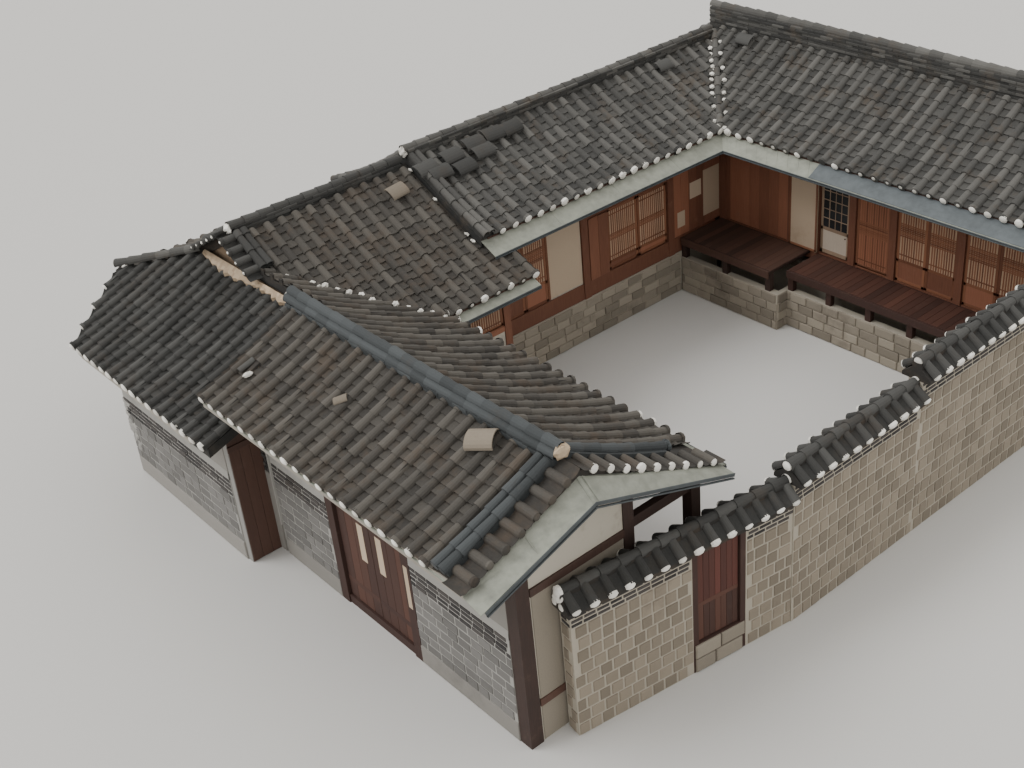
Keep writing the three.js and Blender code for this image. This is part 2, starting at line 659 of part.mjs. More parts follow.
// A leaf whose own origin is its pivot: it reaches from the pivot to width, with pins at top and bottom
function leafSolid(width, thickness, height, pinDrop, pinRise) {
  const edge = 22;
  const slab = box(-edge, width - edge, -thickness / 2, thickness / 2, 0, height);
  const pin = (z0, z1) => {
    const g = new THREE.CylinderGeometry(PIN_RADIUS, PIN_RADIUS, z1 - z0, 12).rotateX(Math.PI / 2);
    return solidOf(g.translate(0, 0, (z0 + z1) / 2));
  };
  return joined([slab, pin(-pinDrop, 20), pin(height - 20, height + pinRise)]);
}

function placeLeaf(name, solid, colour, position, turn) {
  const leaf = put(name, solid, colour);
  leaf.position.set(...position);
  leaf.rotation.z = turn;
}

function addMainGate() {
  const group = new THREE.Group();
  const y0 = streetY;
  const y1 = streetY + WALL;
  const inL = gate.left + gate.post;
  const inR = gate.right - gate.post;
  const frame = [
    tallWall(gate.left + GAP, inL, y0 - 20, y1),
    tallWall(inR, gate.right - GAP, y0 - 20, y1),
    box(inL - 1, inR + 1, y0, y1, 0, gate.low),
    box(inL - 1, inR + 1, y0, y1, gate.high, gate.high + gate.lintel),
    box(inL - 1, inR + 1, y0 + 40, y0 + 100, gate.high + gate.lintel - 1, YARD + 4200),
  ];
  put('main_gate_frame', underRoofs(joined(frame)), 'wood', group);
  house.add(group);
  const clear = inR - inL;
  const width = clear / 2 - LEAF_GAP - 4;
  const height = gate.high - gate.low - 2 * SILL_GAP;
  const leaf = leafSolid(width, gate.leaf, height, SILL_GAP - GAP, SILL_GAP - GAP);
  const y = y0 + 60;
  const z = gate.low + SILL_GAP;
  placeLeaf('main_gate_leaf_left', leaf, 'wood', [inL + LEAF_GAP + 22, y, z], 0);
  placeLeaf('main_gate_leaf_right', leaf, 'wood', [inR - LEAF_GAP - 22, y, z], Math.PI);
}

function addMainDoors() {
  const height = doorway.high - doorway.low - 2 * SILL_GAP;
  const z = doorway.low + SILL_GAP;
  const under = SILL_GAP - GAP;
  const papered = leafSolid(paperedLeaf.width, paperedLeaf.thickness, height + 10, under, under);
  placeLeaf('papered_door_leaf', papered, 'paper', [doorway.left - 20, paperedLeaf.y, z], Math.PI);
  const width = doorway.right - doorway.left - 2 * LEAF_GAP;
  const down = z - FLOOR - GAP;
  const glazed = leafSolid(width, 35, height, down, 2 * SILL_GAP - GAP);
  const glazedAt = [doorway.right - LEAF_GAP - 22, mainWallY + 60, z];
  placeLeaf('glazed_door_leaf', glazed, 'lattice', glazedAt, Math.PI);
}

function addBackDoors() {
  const clear = backDoors.to - backDoors.from;
  const width = clear / 2 - LEAF_GAP - 4;
  const z = backDoors.low + SILL_GAP;
  const height = backDoors.high - z;
  const leaf = leafSolid(width, backDoors.leaf, height, z - FLOOR - GAP, SILL_GAP - GAP);
  const x = upperWallX - 45;
  placeLeaf('back_door_leaf_near', leaf, 'lattice', [x, backDoors.from + LEAF_GAP + 22, z], Math.PI / 2);
  placeLeaf('back_door_leaf_far', leaf, 'lattice', [x, backDoors.to - LEAF_GAP - 22, z], -Math.PI / 2);
}

// Garden wall pieces are drawn straight along Y from the start of each stretch and then turned into place
function capOutline(top, width) {
  const w = width / 2 + cap.overhang;
  const r = cap.ridgeWidth / 2;
  return [
    [-w, top + GAP], [w, top + GAP], [w, top + cap.edge], [r, top + cap.rise],
    [r, top + cap.rise + cap.ridge], [-r, top + cap.rise + cap.ridge], [-r, top + cap.rise],
    [-w, top + cap.edge],
  ];
}

function turned(solid) {
  const place = new THREE.Matrix4().makeRotationZ(gardenTurn).setPosition(gardenStart[0], gardenStart[1], 0);
  return solidOf(geometryOf(solid).applyMatrix4(place));
}

function addGardenWall() {
  const group = new THREE.Group();
  const half = gardenThickness / 2;
  const gateFrom = 1900;
  const gateTo = gateFrom + sideGate.width;
  const keep = box(gableX + GAP, 6000, -7000, gardenSteps[0].from - GAP, -10, SKY);
  const near = turned(box(-half, half, 0, gateFrom - GAP, 0, gardenTop));
  put('garden_wall_near', near.intersect(keep), 'stone', group);
  const beyond = turned(box(-half, half, gateTo + GAP, gardenLength, 0, gardenTop));
  put('garden_wall_beside_gate', beyond.intersect(keep), 'stone', group);
  const frame = [
    box(-half, half, gateFrom, gateFrom + sideGate.post, 0, gardenTop),
    box(-half, half, gateTo - sideGate.post, gateTo, 0, gardenTop),
    box(-half, half, gateFrom + 1, gateTo - 1, 0, sideGate.low),
    box(-half, half, gateFrom + 1, gateTo - 1, sideGate.high, gardenTop),
  ];
  put('side_gate_frame', turned(joined(frame)), 'wood', group);
  const firstCap = turned(alongY(capOutline(gardenTop, gardenThickness), -90, gardenLength));
  put('garden_cap_near', firstCap.intersect(keep), 'tile', group);
  for (const step of gardenSteps) {
    const x = gardenStraightX;
    const wall = [box(x - half, x + half, step.from, step.to, 0, step.top)];
    const top = [alongY(capOutline(step.top, gardenThickness), step.from, step.to).translate(x, 0, 0)];
    if (step.back) {
      wall.push(box(step.back, x, step.to - gardenThickness, step.to, 0, step.top));
      const back = alongX(capOutline(step.top, gardenThickness), step.back, x + half);
      top.push(back.translate(0, step.to - half, 0));
    }
    put(step.name, joined(wall), 'stone', group);
    put(step.name.replace('wall', 'cap'), joined(top), 'tile', group);
  }
  house.add(group);
  const leafWidth = sideGate.width - 2 * sideGate.post - 2 * LEAF_GAP;
  const height = sideGate.high - sideGate.low - 2 * SILL_GAP;
  const leaf = leafSolid(leafWidth, sideGate.leaf, height, SILL_GAP - GAP, SILL_GAP - GAP);
  const local = new THREE.Vector3(half - 60, gateTo - sideGate.post - LEAF_GAP - 22, 0);
  local.applyAxisAngle(new THREE.Vector3(0, 0, 1), gardenTurn);
  placeLeaf('side_gate_leaf', leaf, 'wood',
    [gardenStart[0] + local.x, gardenStart[1] + local.y, sideGate.low + SILL_GAP], gardenTurn - Math.PI / 2);
}

addRoofs();
addFrontRidge();
addLowerBackRidge();
addUpperBackRidge();
addMainRidge();
addYardAprons();
addStreetApron();
addStreetWalls();
addPartyWall();
addGableEnd();
addGableWallsAbove();
addBackWing();
addLowWingWalls();
addMainWing();
addFloors();
addMainGate();
addMainDoors();
addBackDoors();
addGardenWall();

// The origin is the middle of the house's outline on the ground
const outline = new THREE.Box3().setFromObject(house);
const middle = outline.getCenter(new THREE.Vector3());
house.position.set(-middle.x, -middle.y, 0);
house.updateMatrixWorld(true);

export default house;
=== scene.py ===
import json
import math

import bpy
import numpy as np
from mathutils import Matrix, Vector


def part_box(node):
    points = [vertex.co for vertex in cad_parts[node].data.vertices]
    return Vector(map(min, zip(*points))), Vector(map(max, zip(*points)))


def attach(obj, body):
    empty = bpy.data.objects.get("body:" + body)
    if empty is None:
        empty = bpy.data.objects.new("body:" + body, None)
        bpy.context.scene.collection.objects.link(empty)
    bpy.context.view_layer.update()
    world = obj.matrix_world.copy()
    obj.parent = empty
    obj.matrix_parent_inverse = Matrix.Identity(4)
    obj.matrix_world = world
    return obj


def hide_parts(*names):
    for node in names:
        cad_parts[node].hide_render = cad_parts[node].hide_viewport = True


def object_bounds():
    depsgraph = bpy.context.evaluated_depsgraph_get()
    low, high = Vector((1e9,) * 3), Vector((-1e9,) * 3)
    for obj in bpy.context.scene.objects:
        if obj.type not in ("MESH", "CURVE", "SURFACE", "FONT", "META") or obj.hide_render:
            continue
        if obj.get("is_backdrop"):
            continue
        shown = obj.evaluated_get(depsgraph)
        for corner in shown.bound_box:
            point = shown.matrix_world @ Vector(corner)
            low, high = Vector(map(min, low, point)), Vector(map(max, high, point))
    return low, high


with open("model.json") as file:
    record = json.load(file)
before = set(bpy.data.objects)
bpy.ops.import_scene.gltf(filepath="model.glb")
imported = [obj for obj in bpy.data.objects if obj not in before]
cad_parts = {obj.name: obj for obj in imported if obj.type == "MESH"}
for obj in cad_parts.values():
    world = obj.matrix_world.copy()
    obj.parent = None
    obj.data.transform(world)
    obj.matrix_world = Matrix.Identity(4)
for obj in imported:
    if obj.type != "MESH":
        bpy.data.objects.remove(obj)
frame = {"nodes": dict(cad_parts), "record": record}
cadLow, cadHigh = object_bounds()
print("stage: the frame is loaded")

# House coordinates are metres: x along the street, y into the plot, z from the yard's ground.
# The corner post's outer corner ties them to the frame.
tie = {"postRight": 3.60, "postFront": -5.51, "yard": 0.75}
postLow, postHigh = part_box("street_corner_post")
origin = np.array([postHigh.x - tie["postRight"], postLow.y - tie["postFront"], tie["yard"]])
xAxis, yAxis, zAxis = np.eye(3)
chance = np.random.default_rng(7)


def spread(shape, amount):
    return chance.uniform(-amount, amount, shape)


def stack(*parts):
    # Coordinates or sizes side by side along a last axis, single numbers repeated to match
    return np.stack(np.broadcast_arrays(*parts), axis=-1)


class Sheet:
    # Gathers grids and blocks of points, with one shade value a face, and turns them into one mesh
    def __init__(self):
        self.points, self.quads, self.shades, self.count = [], [], [], 0

    def add(self, points, quads, shades):
        self.points.append(points.reshape(-1, 3))
        self.quads.append(quads.reshape(-1, 4) + self.count)
        self.shades.append(np.broadcast_to(shades, quads.shape[:-1]).reshape(-1))
        self.count += self.points[-1].shape[0]

    # A grid of points (..., n, m, 3) with a quad between each four neighbours, where keep is true,
    # turned so that most of it faces the outward direction
    def grid(self, points, shades, keep=None, outward=zAxis):
        *batch, n, m, _ = points.shape
        index = np.arange(int(np.prod(batch, dtype=int)) * n * m).reshape(*batch, n, m)
        a, b = index[..., :-1, :-1], index[..., :-1, 1:]
        c, d = index[..., 1:, 1:], index[..., 1:, :-1]
        near = points[..., :-1, :-1, :]
        facing = np.cross(points[..., :-1, 1:, :] - near, points[..., 1:, :-1, :] - near)
        quads = np.stack([a, d, c, b] if np.sum(facing * outward) < 0 else [a, b, c, d], axis=-1)
        shades = np.broadcast_to(shades, quads.shape[:-1])
        if keep is not None:
            keep = np.broadcast_to(keep, quads.shape[:-1])
            quads, shades = quads[keep], shades[keep]
        self.add(points, quads, shades)

    # A profile (m, 2) carried along centres: point = centre + size * (across * side + rise * up)
    def sweep(self, centres, sides, ups, profile, sizes, shades, keep=None, outward=None):
        sizes = np.broadcast_to(sizes, centres.shape[:-1])[..., None, None]
        sides, ups = (np.broadcast_to(value, centres.shape)[..., None, :] for value in (sides, ups))
        reach = sizes * (profile[:, :1] * sides + profile[:, 1:] * ups)
        outward = reach[..., :-1, :-1, :] if outward is None else outward
        self.grid(centres[..., None, :] + reach, shades, keep, outward)

    # Closed blocks: each stands on the centre of its back face, and its outer face is bevelled.
    # Sizes are (across, along up, along out), and across = up x out
    def blocks(self, centres, ups, outs, sizes, bevel=0.004, shades=None):
        centres = np.atleast_2d(centres)
        ups, outs, sizes = (np.broadcast_to(value, centres.shape) for value in (ups, outs, sizes))
        sides = np.cross(ups, outs)[:, None, None]
        half = sizes[:, None, None, :2] / 2 - bevel * zAxis[:, None, None]
        corners = half * np.array([(-1, -1), (1, -1), (1, 1), (-1, 1)])
        depth = sizes[:, 2]
        reach = np.stack([0 * depth, depth - bevel, depth], axis=1)[..., None, None]
        points = centres[:, None, None] + corners[..., :1] * sides + corners[..., 1:] * ups[:, None, None]
        points = points + reach * outs[:, None, None]
        turn = np.arange(4)
        after = np.roll(turn, -1)
        rings = [stack(turn + k, after + k, after + k + 4, turn + k + 4) for k in (0, 4)]
        quads = np.concatenate([*rings, [[8, 9, 10, 11]], [[3, 2, 1, 0]]])
        quads = quads + 12 * np.arange(len(centres))[:, None, None]
        shades = chance.random(len(centres)) if shades is None else shades
        self.add(points, quads, np.broadcast_to(shades, len(centres))[:, None])

    # The finish is the slot's own unless a closer look is given
    def finish(self, name, slot, look=None, body="house", replaces=()):
        points, quads = np.concatenate(self.points), np.concatenate(self.quads)
        used, inverse = np.unique(quads, return_inverse=True)
        mesh = bpy.data.meshes.new(name)
        mesh.from_pydata((points[used] + origin).tolist(), [], inverse.reshape(quads.shape).tolist())
        mesh.attributes.new("shade", "FLOAT", "FACE").data.foreach_set("value", np.concatenate(self.shades))
        mesh.materials.append(finishes[look or slot])
        made = bpy.data.objects.new(name, mesh)
        bpy.context.scene.collection.objects.link(made)
        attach(made, body)
        if replaces:
            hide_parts(*replaces)


def arc(start, end, steps=8, width=1.0, height=1.0):
    # Points of an ellipse between two angles in degrees
    angles = np.radians(np.linspace(start, end, steps + 1))
    return stack(width * np.cos(angles), height * np.sin(angles))


def unit(vectors):
    return vectors / np.linalg.norm(vectors, axis=-1, keepdims=True)


class Value:
    # Wraps a socket so that sums and products of values become Math nodes
    def __init__(self, shader, socket):
        self.shader, self.socket = shader, socket

    def __add__(self, other):
        return self.shader.node("Math", {"operation": "ADD"}, {0: self, 1: other})

    def __mul__(self, other):
        return self.shader.node("Math", {"operation": "MULTIPLY"}, {0: self, 1: other})


class Shader:
    # One material and its nodes
    def __init__(self, name):
        self.material = bpy.data.materials.new(name)
        self.material.use_nodes = True
        self.tree = self.material.node_tree
        self.base = self.tree.nodes["Principled BSDF"]
        self.place = self.node("TexCoord", out="Object")

    # A node of one kind: its settings are set first, then the values or links of its sockets
    def node(self, kind, settings=None, sockets=None, out=0):
        made = self.tree.nodes.new("ShaderNode" + kind)
        for key, setting in (settings or {}).items():
            if key == "stops":
                for stop, (where, colour) in enumerate(setting):
                    ends = made.color_ramp.elements
                    element = ends[stop] if stop < 2 else ends.new(where)
                    element.position, element.color = where, (*colour, 1)
            else:
                setattr(made, key, setting)
        for key, value in (sockets or {}).items():
            self.put(made.inputs[key], value)
        return Value(self, made.outputs[out])

    def put(self, socket, value):
        if isinstance(value, Value):
            self.tree.links.new(value.socket, socket)
        else:
            colour = socket.type == "RGBA" and isinstance(value, tuple) and len(value) == 3
            socket.default_value = (*value, 1) if colour else value

    def noise(self, scale, detail, roughness=0.6, stretch=None):
        place = self.place
        if stretch:
            place = self.node("Mapping", None, {"Vector": self.place, "Scale": stretch})
        sockets = {"Vector": place, "Scale": scale, "Detail": detail, "Roughness": roughness}
        return self.node("TexNoise", None, sockets, "Fac")

    def blend(self, share, first, second):
        return self.node("Mix", {"data_type": "RGBA"}, {0: share, 6: first, 7: second}, 2)

    def ramp(self, value, *stops):
        return self.node("ValToRGB", {"stops": stops}, {"Fac": value}, "Color")

    def step(self, value, low, high):
        sockets = {"Value": value, "From Min": low, "From Max": high}
        return self.node("MapRange", {"interpolation_type": "SMOOTHSTEP"}, sockets)

    def shade(self):
        return self.node("Attribute", {"attribute_name": "shade"}, out="Fac")

    def done(self, colour, roughness, height=None, distance=0.004, metallic=0.0):
        for key, value in (("Base Color", colour), ("Roughness", roughness), ("Metallic", metallic)):
            self.put(self.base.inputs[key], value)
        if height is not None:
            bump = {"Height": height, "Distance": distance, "Strength": 0.7}
            self.put(self.base.inputs["Normal"], self.node("Bump", None, bump, "Normal"))
        return self.material


def times(factor, colour):
    return tuple(min(1, factor * part) for part in colour)


def firedTile(name, dark, light, warm, warmShare):
    # Fired grey tile: each tile has its own grey, with brown growth in patches and pale worn spots
    s = Shader(name)
    grain, patch = s.noise(34, 5), s.noise(1.7, 3)
    grey = s.ramp(s.shade() * 0.75 + grain * 0.3, (0.15, dark), (0.95, light))
    brown = s.step(patch + s.noise(11, 4) * 0.5, 0.86 - warmShare * 0.3, 1.05)
    worn = s.step(s.noise(60, 3, 0.7), 0.66, 0.76)
    colour = s.blend(worn * 0.35, s.blend(brown * 0.75, grey, warm), times(2.6, light))
    return s.done(colour, 0.9, grain, 0.003)


def sheetMetal(name, base):
    s = Shader(name)
    stain = s.noise(2.2, 5, 0.65, (1, 1, 3))
    run = s.noise(9, 3, 0.6, (1, 1, 0.2))
    tones = ((0.25, times(0.55, base)), (0.6, base), (0.95, times(1.35, base)))
    return s.done(s.ramp(stain * 0.7 + run * 0.4, *tones), stain * 0.3 + 0.45, s.noise(3, 2), 0.004, 0.35)


def masonry(name, dark, light, stain=(0.08, 0.06, 0.045)):
    # Stone, brick, mortar and plaster: a grey of its own for each block, pitted, with damp dark patches
    s = Shader(name)
    grain = s.noise(48, 6, 0.7)
    tone = s.ramp(s.shade() * 0.7 + grain * 0.35, (0.2, dark), (0.9, light))
    damp = s.step(s.noise(0.9, 5, 0.6) + s.noise(7, 3) * 0.35, 0.72, 0.98)
    return s.done(s.blend(damp * 0.5, tone, stain), 0.92, grain, 0.004)


def timber(name, dark, light, wear, stretch=(1, 1, 0.06)):
    # Painted or oiled wood with grain along one axis, worn paler at random
    s = Shader(name)
    grain = s.noise(55, 5, 0.65, stretch)
    tone = s.ramp(s.shade() * 0.6 + grain * 0.5, (0.2, dark), (0.95, light))
    worn = s.step(s.noise(3.1, 6, 0.7), 0.56, 0.78)
    return s.done(s.blend(worn * 0.55, tone, wear), 0.72, grain, 0.0015)


def glazing(name, colour):
    s = Shader(name)
    return s.done(s.ramp(s.noise(1.4, 3), (0.3, colour), (0.8, times(2, colour))), 0.12)


# For each way to make a finish: the material's name, its darkest and lightest colour, what stains or wears
# it, and a share or a stretch of its own
looks = {
    firedTile: {
        "roof_tile": ("weatheredTile", (0.02, 0.018, 0.016), (0.098, 0.089, 0.076), (0.068, 0.05, 0.035),
                      0.6),
        "grey_tile": ("greyTile", (0.021, 0.021, 0.02), (0.113, 0.109, 0.1), (0.074, 0.058, 0.043), 0.35),
        "dark_tile": ("smoothTile", (0.014, 0.014, 0.013), (0.066, 0.065, 0.061), (0.044, 0.037, 0.03), 0.4),
        "ridge_tile": ("newerTile", (0.019, 0.022, 0.023), (0.062, 0.069, 0.072), (0.05, 0.049, 0.046), 0.1),
        "pale_tile": ("spareTile", (0.13, 0.11, 0.085), (0.26, 0.22, 0.17), (0.17, 0.13, 0.1), 0.3),
    },
    sheetMetal: {
        "sheet_metal": ("greyGreenSheet", (0.27, 0.28, 0.235)),
        # Blue-grey sheet laid as painted shade over part of the main apron
        "painted_shade_metal": ("blueGreySheet", (0.11, 0.125, 0.132)),
        "dark_metal": ("darkGreySheet", (0.07, 0.08, 0.085)),
    },
    masonry: {
        "stonework": ("baseStone", (0.19, 0.165, 0.13), (0.34, 0.3, 0.24)),
        # Grey street stone and its pale joints, both darkened as painted shade of the shaded street side
        "street_stone": ("streetStone", (0.125, 0.12, 0.113), (0.185, 0.178, 0.168), (0.095, 0.091, 0.085)),
        "street_joint": ("streetJoint", (0.26, 0.252, 0.235), (0.35, 0.34, 0.315), (0.17, 0.163, 0.15)),
        # The garden wall's grey-brown stone, darkened as painted shade
        "garden_stone": ("gardenStone", (0.17, 0.143, 0.108), (0.27, 0.228, 0.175), (0.13, 0.105, 0.08)),
        "brick": ("darkBrick", (0.026, 0.024, 0.024), (0.07, 0.062, 0.058)),
        "joint": ("paleJoint", (0.36, 0.325, 0.265), (0.5, 0.46, 0.39), (0.2, 0.17, 0.13)),
        "plaster": ("limePlaster", (0.43, 0.395, 0.33), (0.62, 0.575, 0.49)),
        # Grey plaster of the street walls, darkened as painted shade of the shaded street side
        "grey_plaster": ("greyPlaster", (0.185, 0.175, 0.158), (0.265, 0.25, 0.228), (0.11, 0.101, 0.09)),
        "mortar": ("tanMortar", (0.24, 0.17, 0.11), (0.46, 0.36, 0.25)),
        "plug": ("whiteMortar", (0.6, 0.58, 0.53), (0.88, 0.86, 0.8), (0.3, 0.27, 0.22)),
        "paper": ("agedPaper", (0.46, 0.36, 0.26), (0.6, 0.48, 0.36), (0.33, 0.23, 0.15)),
        # Tan paper behind the lattices: aged paper, darkened further as painted shade
        "tan_paper": ("shadedPaper", (0.36, 0.24, 0.155), (0.5, 0.345, 0.235), (0.26, 0.16, 0.105)),
    },
    timber: {
        # painted_wood and red_wood: red-brown paint, darkened as painted shade of the shaded street side
        "painted_wood": ("redBrownWood", (0.032, 0.012, 0.008), (0.09, 0.034, 0.021), (0.074, 0.038, 0.027)),
        # The yard's red-brown boards, lightened and warmed as painted light bounced from the yard's floor
        "yard_wood": ("yardWood", (0.135, 0.052, 0.029), (0.35, 0.142, 0.08), (0.26, 0.125, 0.08)),
        "red_wood": ("redderWood", (0.042, 0.011, 0.007), (0.11, 0.03, 0.02), (0.072, 0.034, 0.024)),
        "lattice_wood": ("latticeWood", (0.12, 0.042, 0.02), (0.28, 0.115, 0.058), (0.22, 0.11, 0.065)),
        "dark_wood": ("darkWood", (0.028, 0.014, 0.01), (0.09, 0.042, 0.028), (0.1, 0.055, 0.04)),
        "white_wood": ("paleWood", (0.4, 0.33, 0.26), (0.6, 0.52, 0.43), (0.3, 0.22, 0.16)),
        "beige_wood": ("beigeWood", (0.22, 0.15, 0.1), (0.36, 0.26, 0.18), (0.2, 0.13, 0.09)),
        "eave_wood": ("paleEaveBoard", (0.22, 0.2, 0.17), (0.38, 0.35, 0.3), (0.16, 0.13, 0.1), (0.06, 1, 1)),
    },
    glazing: {
        "glass": ("darkGlass", (0.012, 0.014, 0.016)),
    },
}
finishes = {look: make(*values) for make, kinds in looks.items() for look, values in kinds.items()}
# Some carried nodes have a closer finish than their slot's own
carried = {
    "joint": "garden_wall_near garden_wall_beside_gate garden_wall_middle garden_wall_far back_wing_base "
             "main_wing_base deck_base",
    "street_joint": "street_wall_left street_wall_right left_street_wall",
    "yard_wood": "back_wing_end_boards back_wing_frame front_yard_wall lower_wing_wall main_corner_boards "
                 "main_wall_panel main_wing_frame",
    "roof_tile": "lower_back_roof",
    "grey_tile": "upper_back_roof main_roof main_ridge upper_back_ridge",
    "dark_tile": "left_front_roof",
}
closer = {node: look for look, nodes in carried.items() for node in nodes.split()}
for node in frame["record"]["subparts"]:
    target = frame["nodes"][node["node"]]
    target.data.materials.clear()
    target.data.materials.append(finishes[closer.get(node["node"], node["material_slot"])])
print("stage: the finishes are made")

hollow = 0.22  # share of a slope's rise that lies in its hollow
lapSteps = np.array([0.0, 0.45, 1.0])  # where a tile's rings lie along it
coverArc, ridgeArc = arc(-14, 194), arc(-20, 200)


class Slope:
    # A roof face between its eave and ridge, falling along x or y
    def __init__(self, falls, eave, ridge, low, high):
        self.falls, self.eave, self.low, self.rise = falls, eave, low, high - low
        self.run, self.sign = abs(ridge - eave), 1 if ridge > eave else -1
        self.side, self.across = (yAxis, xAxis) if falls == "x" else (xAxis, yAxis)

    def grade(self, up):
        return self.rise / self.run * ((1 - hollow) + 2 * hollow * up / self.run)

    def place(self, across, along, height):
        first, second = (across, along) if self.falls == "x" else (along, across)
        return stack(first, second, height)

    # Along the eave, up the slope from the eave (on plan), and out square to the slope. The face's height is
    # low + rise * ((1 - hollow) * share + hollow * share^2), where share = up / run
    def at(self, along, up, out=0.0):
        share, grade = up / self.run, self.grade(up)
        tilt = 1 / np.sqrt(1 + grade ** 2)
        height = self.low + self.rise * (share * (1 - hollow) + hollow * share ** 2) + out * tilt
        return self.place(self.eave + self.sign * (up - out * grade * tilt), along, height)

    def normal(self, up):
        tilt = 1 / np.sqrt(1 + self.grade(up) ** 2)
        return self.place(-self.sign * self.grade(up) * tilt, 0.0, tilt)

    def uphill(self, up):
        tilt = 1 / np.sqrt(1 + self.grade(up) ** 2)
        return self.place(self.sign * tilt, 0.0, self.grade(up) * tilt)


tiles = {
    "radius": 0.072,       # of the round cover tiles
    "lift": 0.03,          # their axis over the roof's face
    "course": 0.285,       # length of a cover tile that shows
    "panCourse": 0.145,    # length of a hollow pan tile that shows
    "overhang": 0.05,      # past the roof's edge
    "jitter": 0.004,       # of a tile sideways
    "flare": (1.11, 1.0, 0.89),  # width of a tile's rings
    "lostWidth": 0.55,     # of a tile that is missing, as a share
    "shortest": 0.12,      # row that is laid
    "panEdge": 0.028,      # of a hollow tile, in from the axis of the cover tile over it
    "panLift": 0.010,      # of a hollow tile's middle over the roof's face
    "panStep": 0.024,      # at each lap of hollow tiles
    "panCurve": 0.032,     # rise of a hollow tile's edges
}


def cornerLine(along, corners):
    # A line in the slope's own plan: one distance, or corners (place along the eave, distance up the slope)
    if np.isscalar(corners):
        return np.full(np.shape(along), float(corners))
    return np.interp(along, *np.array(corners).T)


def coverTiles(sheet, slope, rows, start, end, radius=tiles["radius"], lift=tiles["lift"], lost=None):
    # Half-round tiles end to end up each row: every tile is a little wider at its lower end,
    # where it laps the one below, and each is nudged sideways and outward at random
    rows = np.array(rows)
    start, end = (np.broadcast_to(value, rows.shape) for value in (start, end))
    count = int(np.ceil((end - start).max() / tiles["course"]))
    steps = np.arange(count)[None, :, None] + lapSteps
    size, flat = (len(rows), count, 1), (len(rows), count * 3)
    full = start[:, None, None] + steps * tiles["course"] + spread((len(rows), 1, 1), 0.03)
    full[:, 0, 0] = start
    up = np.clip(full, start[:, None, None], end[:, None, None])
    wave = 0.007 * np.sin(up * 2.1 + rows[:, None, None] * 5)
    along = rows[:, None, None] + spread(size, tiles["jitter"]) + wave
    out = np.broadcast_to(lift + spread(size, 0.005), up.shape)
    sizes = radius * (np.array(tiles["flare"]) + spread(size, 0.04))
    if lost:
        sizes[lost] *= tiles["lostWidth"]
    shades = 0.25 + 0.7 * np.repeat(chance.random((len(rows), count)), 3, axis=1)[:, 1:, None]
    keep = (full.reshape(flat)[:, :-1] < end[:, None] - 0.005)[..., None]
    up = up.reshape(flat)
    centres = slope.at(along.reshape(flat), up, out.reshape(flat))
    sheet.sweep(centres, slope.side, slope.normal(up), coverArc, sizes.reshape(flat), shades, keep)


def panTiles(sheet, slope, edges, begin, end, over):
    # Hollow tiles between the rows: out = edge lift * (across / half width)^2, plus a step at each lap,
    # cut along the field's skew edges
    middle, half = (edges[:-1] + edges[1:]) / 2, np.diff(edges) / 2 - tiles["panEdge"]
    across = np.linspace(-1, 1, 6)
    along = middle[:, None, None] + half[:, None, None] * across
    start, end = cornerLine(along, begin) - over, cornerLine(along, end)
    first = start.min(axis=2, keepdims=True)
    count = int(np.ceil((end - first).max() / tiles["panCourse"])) + 1
    steps = (np.arange(count)[:, None] + np.array([0.0, 0.5, 1.0])).reshape(1, -1, 1)
    full = first + steps * tiles["panCourse"] + spread((len(middle), 1, 1), 0.02) * (steps > 0)
    up = np.clip(full, start, np.maximum(start, end))
    rise = tiles["panStep"] * np.array([1.0, 0.5, 0.0]) + spread((len(middle), count, 1), 0.004)
    out = tiles["panLift"] + rise.reshape(len(middle), -1, 1) + tiles["panCurve"] * across ** 2
    shades = 0.14 + 0.4 * np.repeat(chance.random((len(middle), count)), 3, axis=1)[:, 1:, None]
    drop = slope.at(along, up[:, :1], out[:, :1] - 0.022)
    points = np.concatenate([drop, slope.at(along, up, out)], axis=1)
    shades = np.concatenate([shades[:, :1], shades], axis=1)
    shades[:, ::3] = 0.9
    gone = np.diff(np.concatenate([up[:, :1] - 1, up], axis=1), axis=1)
    keep = np.maximum(gone[..., :-1], gone[..., 1:]) > 0.004
    laps = np.zeros(keep.shape, dtype=bool)
    laps[:, 3::3] = True
    reached = (up[..., :-1] < end[..., :-1] - 0.01)[:, :keep.shape[1]]
    keep = (keep | (laps & reached)) & ((end > start)[..., :-1] | (end > start)[..., 1:])
    sheet.grid(points, shades, keep)


def moundPlugs(sheet, centres, outward, side, up, radius, bulge=0.35, shades=None):
    # Rounded mortar plugs: point = centre + radius * share of it * (cos, sin), bulging as 1 - share^2
    if not len(centres):
        return
    centres = centres + spread(centres.shape, 0.005)
    sizes = radius * (1 + spread((len(centres), 1, 1, 1), 0.14))
    rings = np.array([0.0, 0.5, 0.85, 1.0, 1.0])[:, None, None]
    angles = np.linspace(0, 2 * np.pi, 11)[None, :, None]
    push = np.array([bulge, 0.75 * bulge, 0.28 * bulge, 0.0, -0.6])[:, None, None]
    directions = (outward, side, up)
    outward, side, up = (np.broadcast_to(value, centres.shape)[:, None, None] for value in directions)
    reach = rings * (np.cos(angles) * side + np.sin(angles) * up) + push * outward
    shades = chance.random((len(centres), 1, 1)) if shades is None else shades
    sheet.grid(centres[:, None, None] + sizes * reach, shades, None, outward)


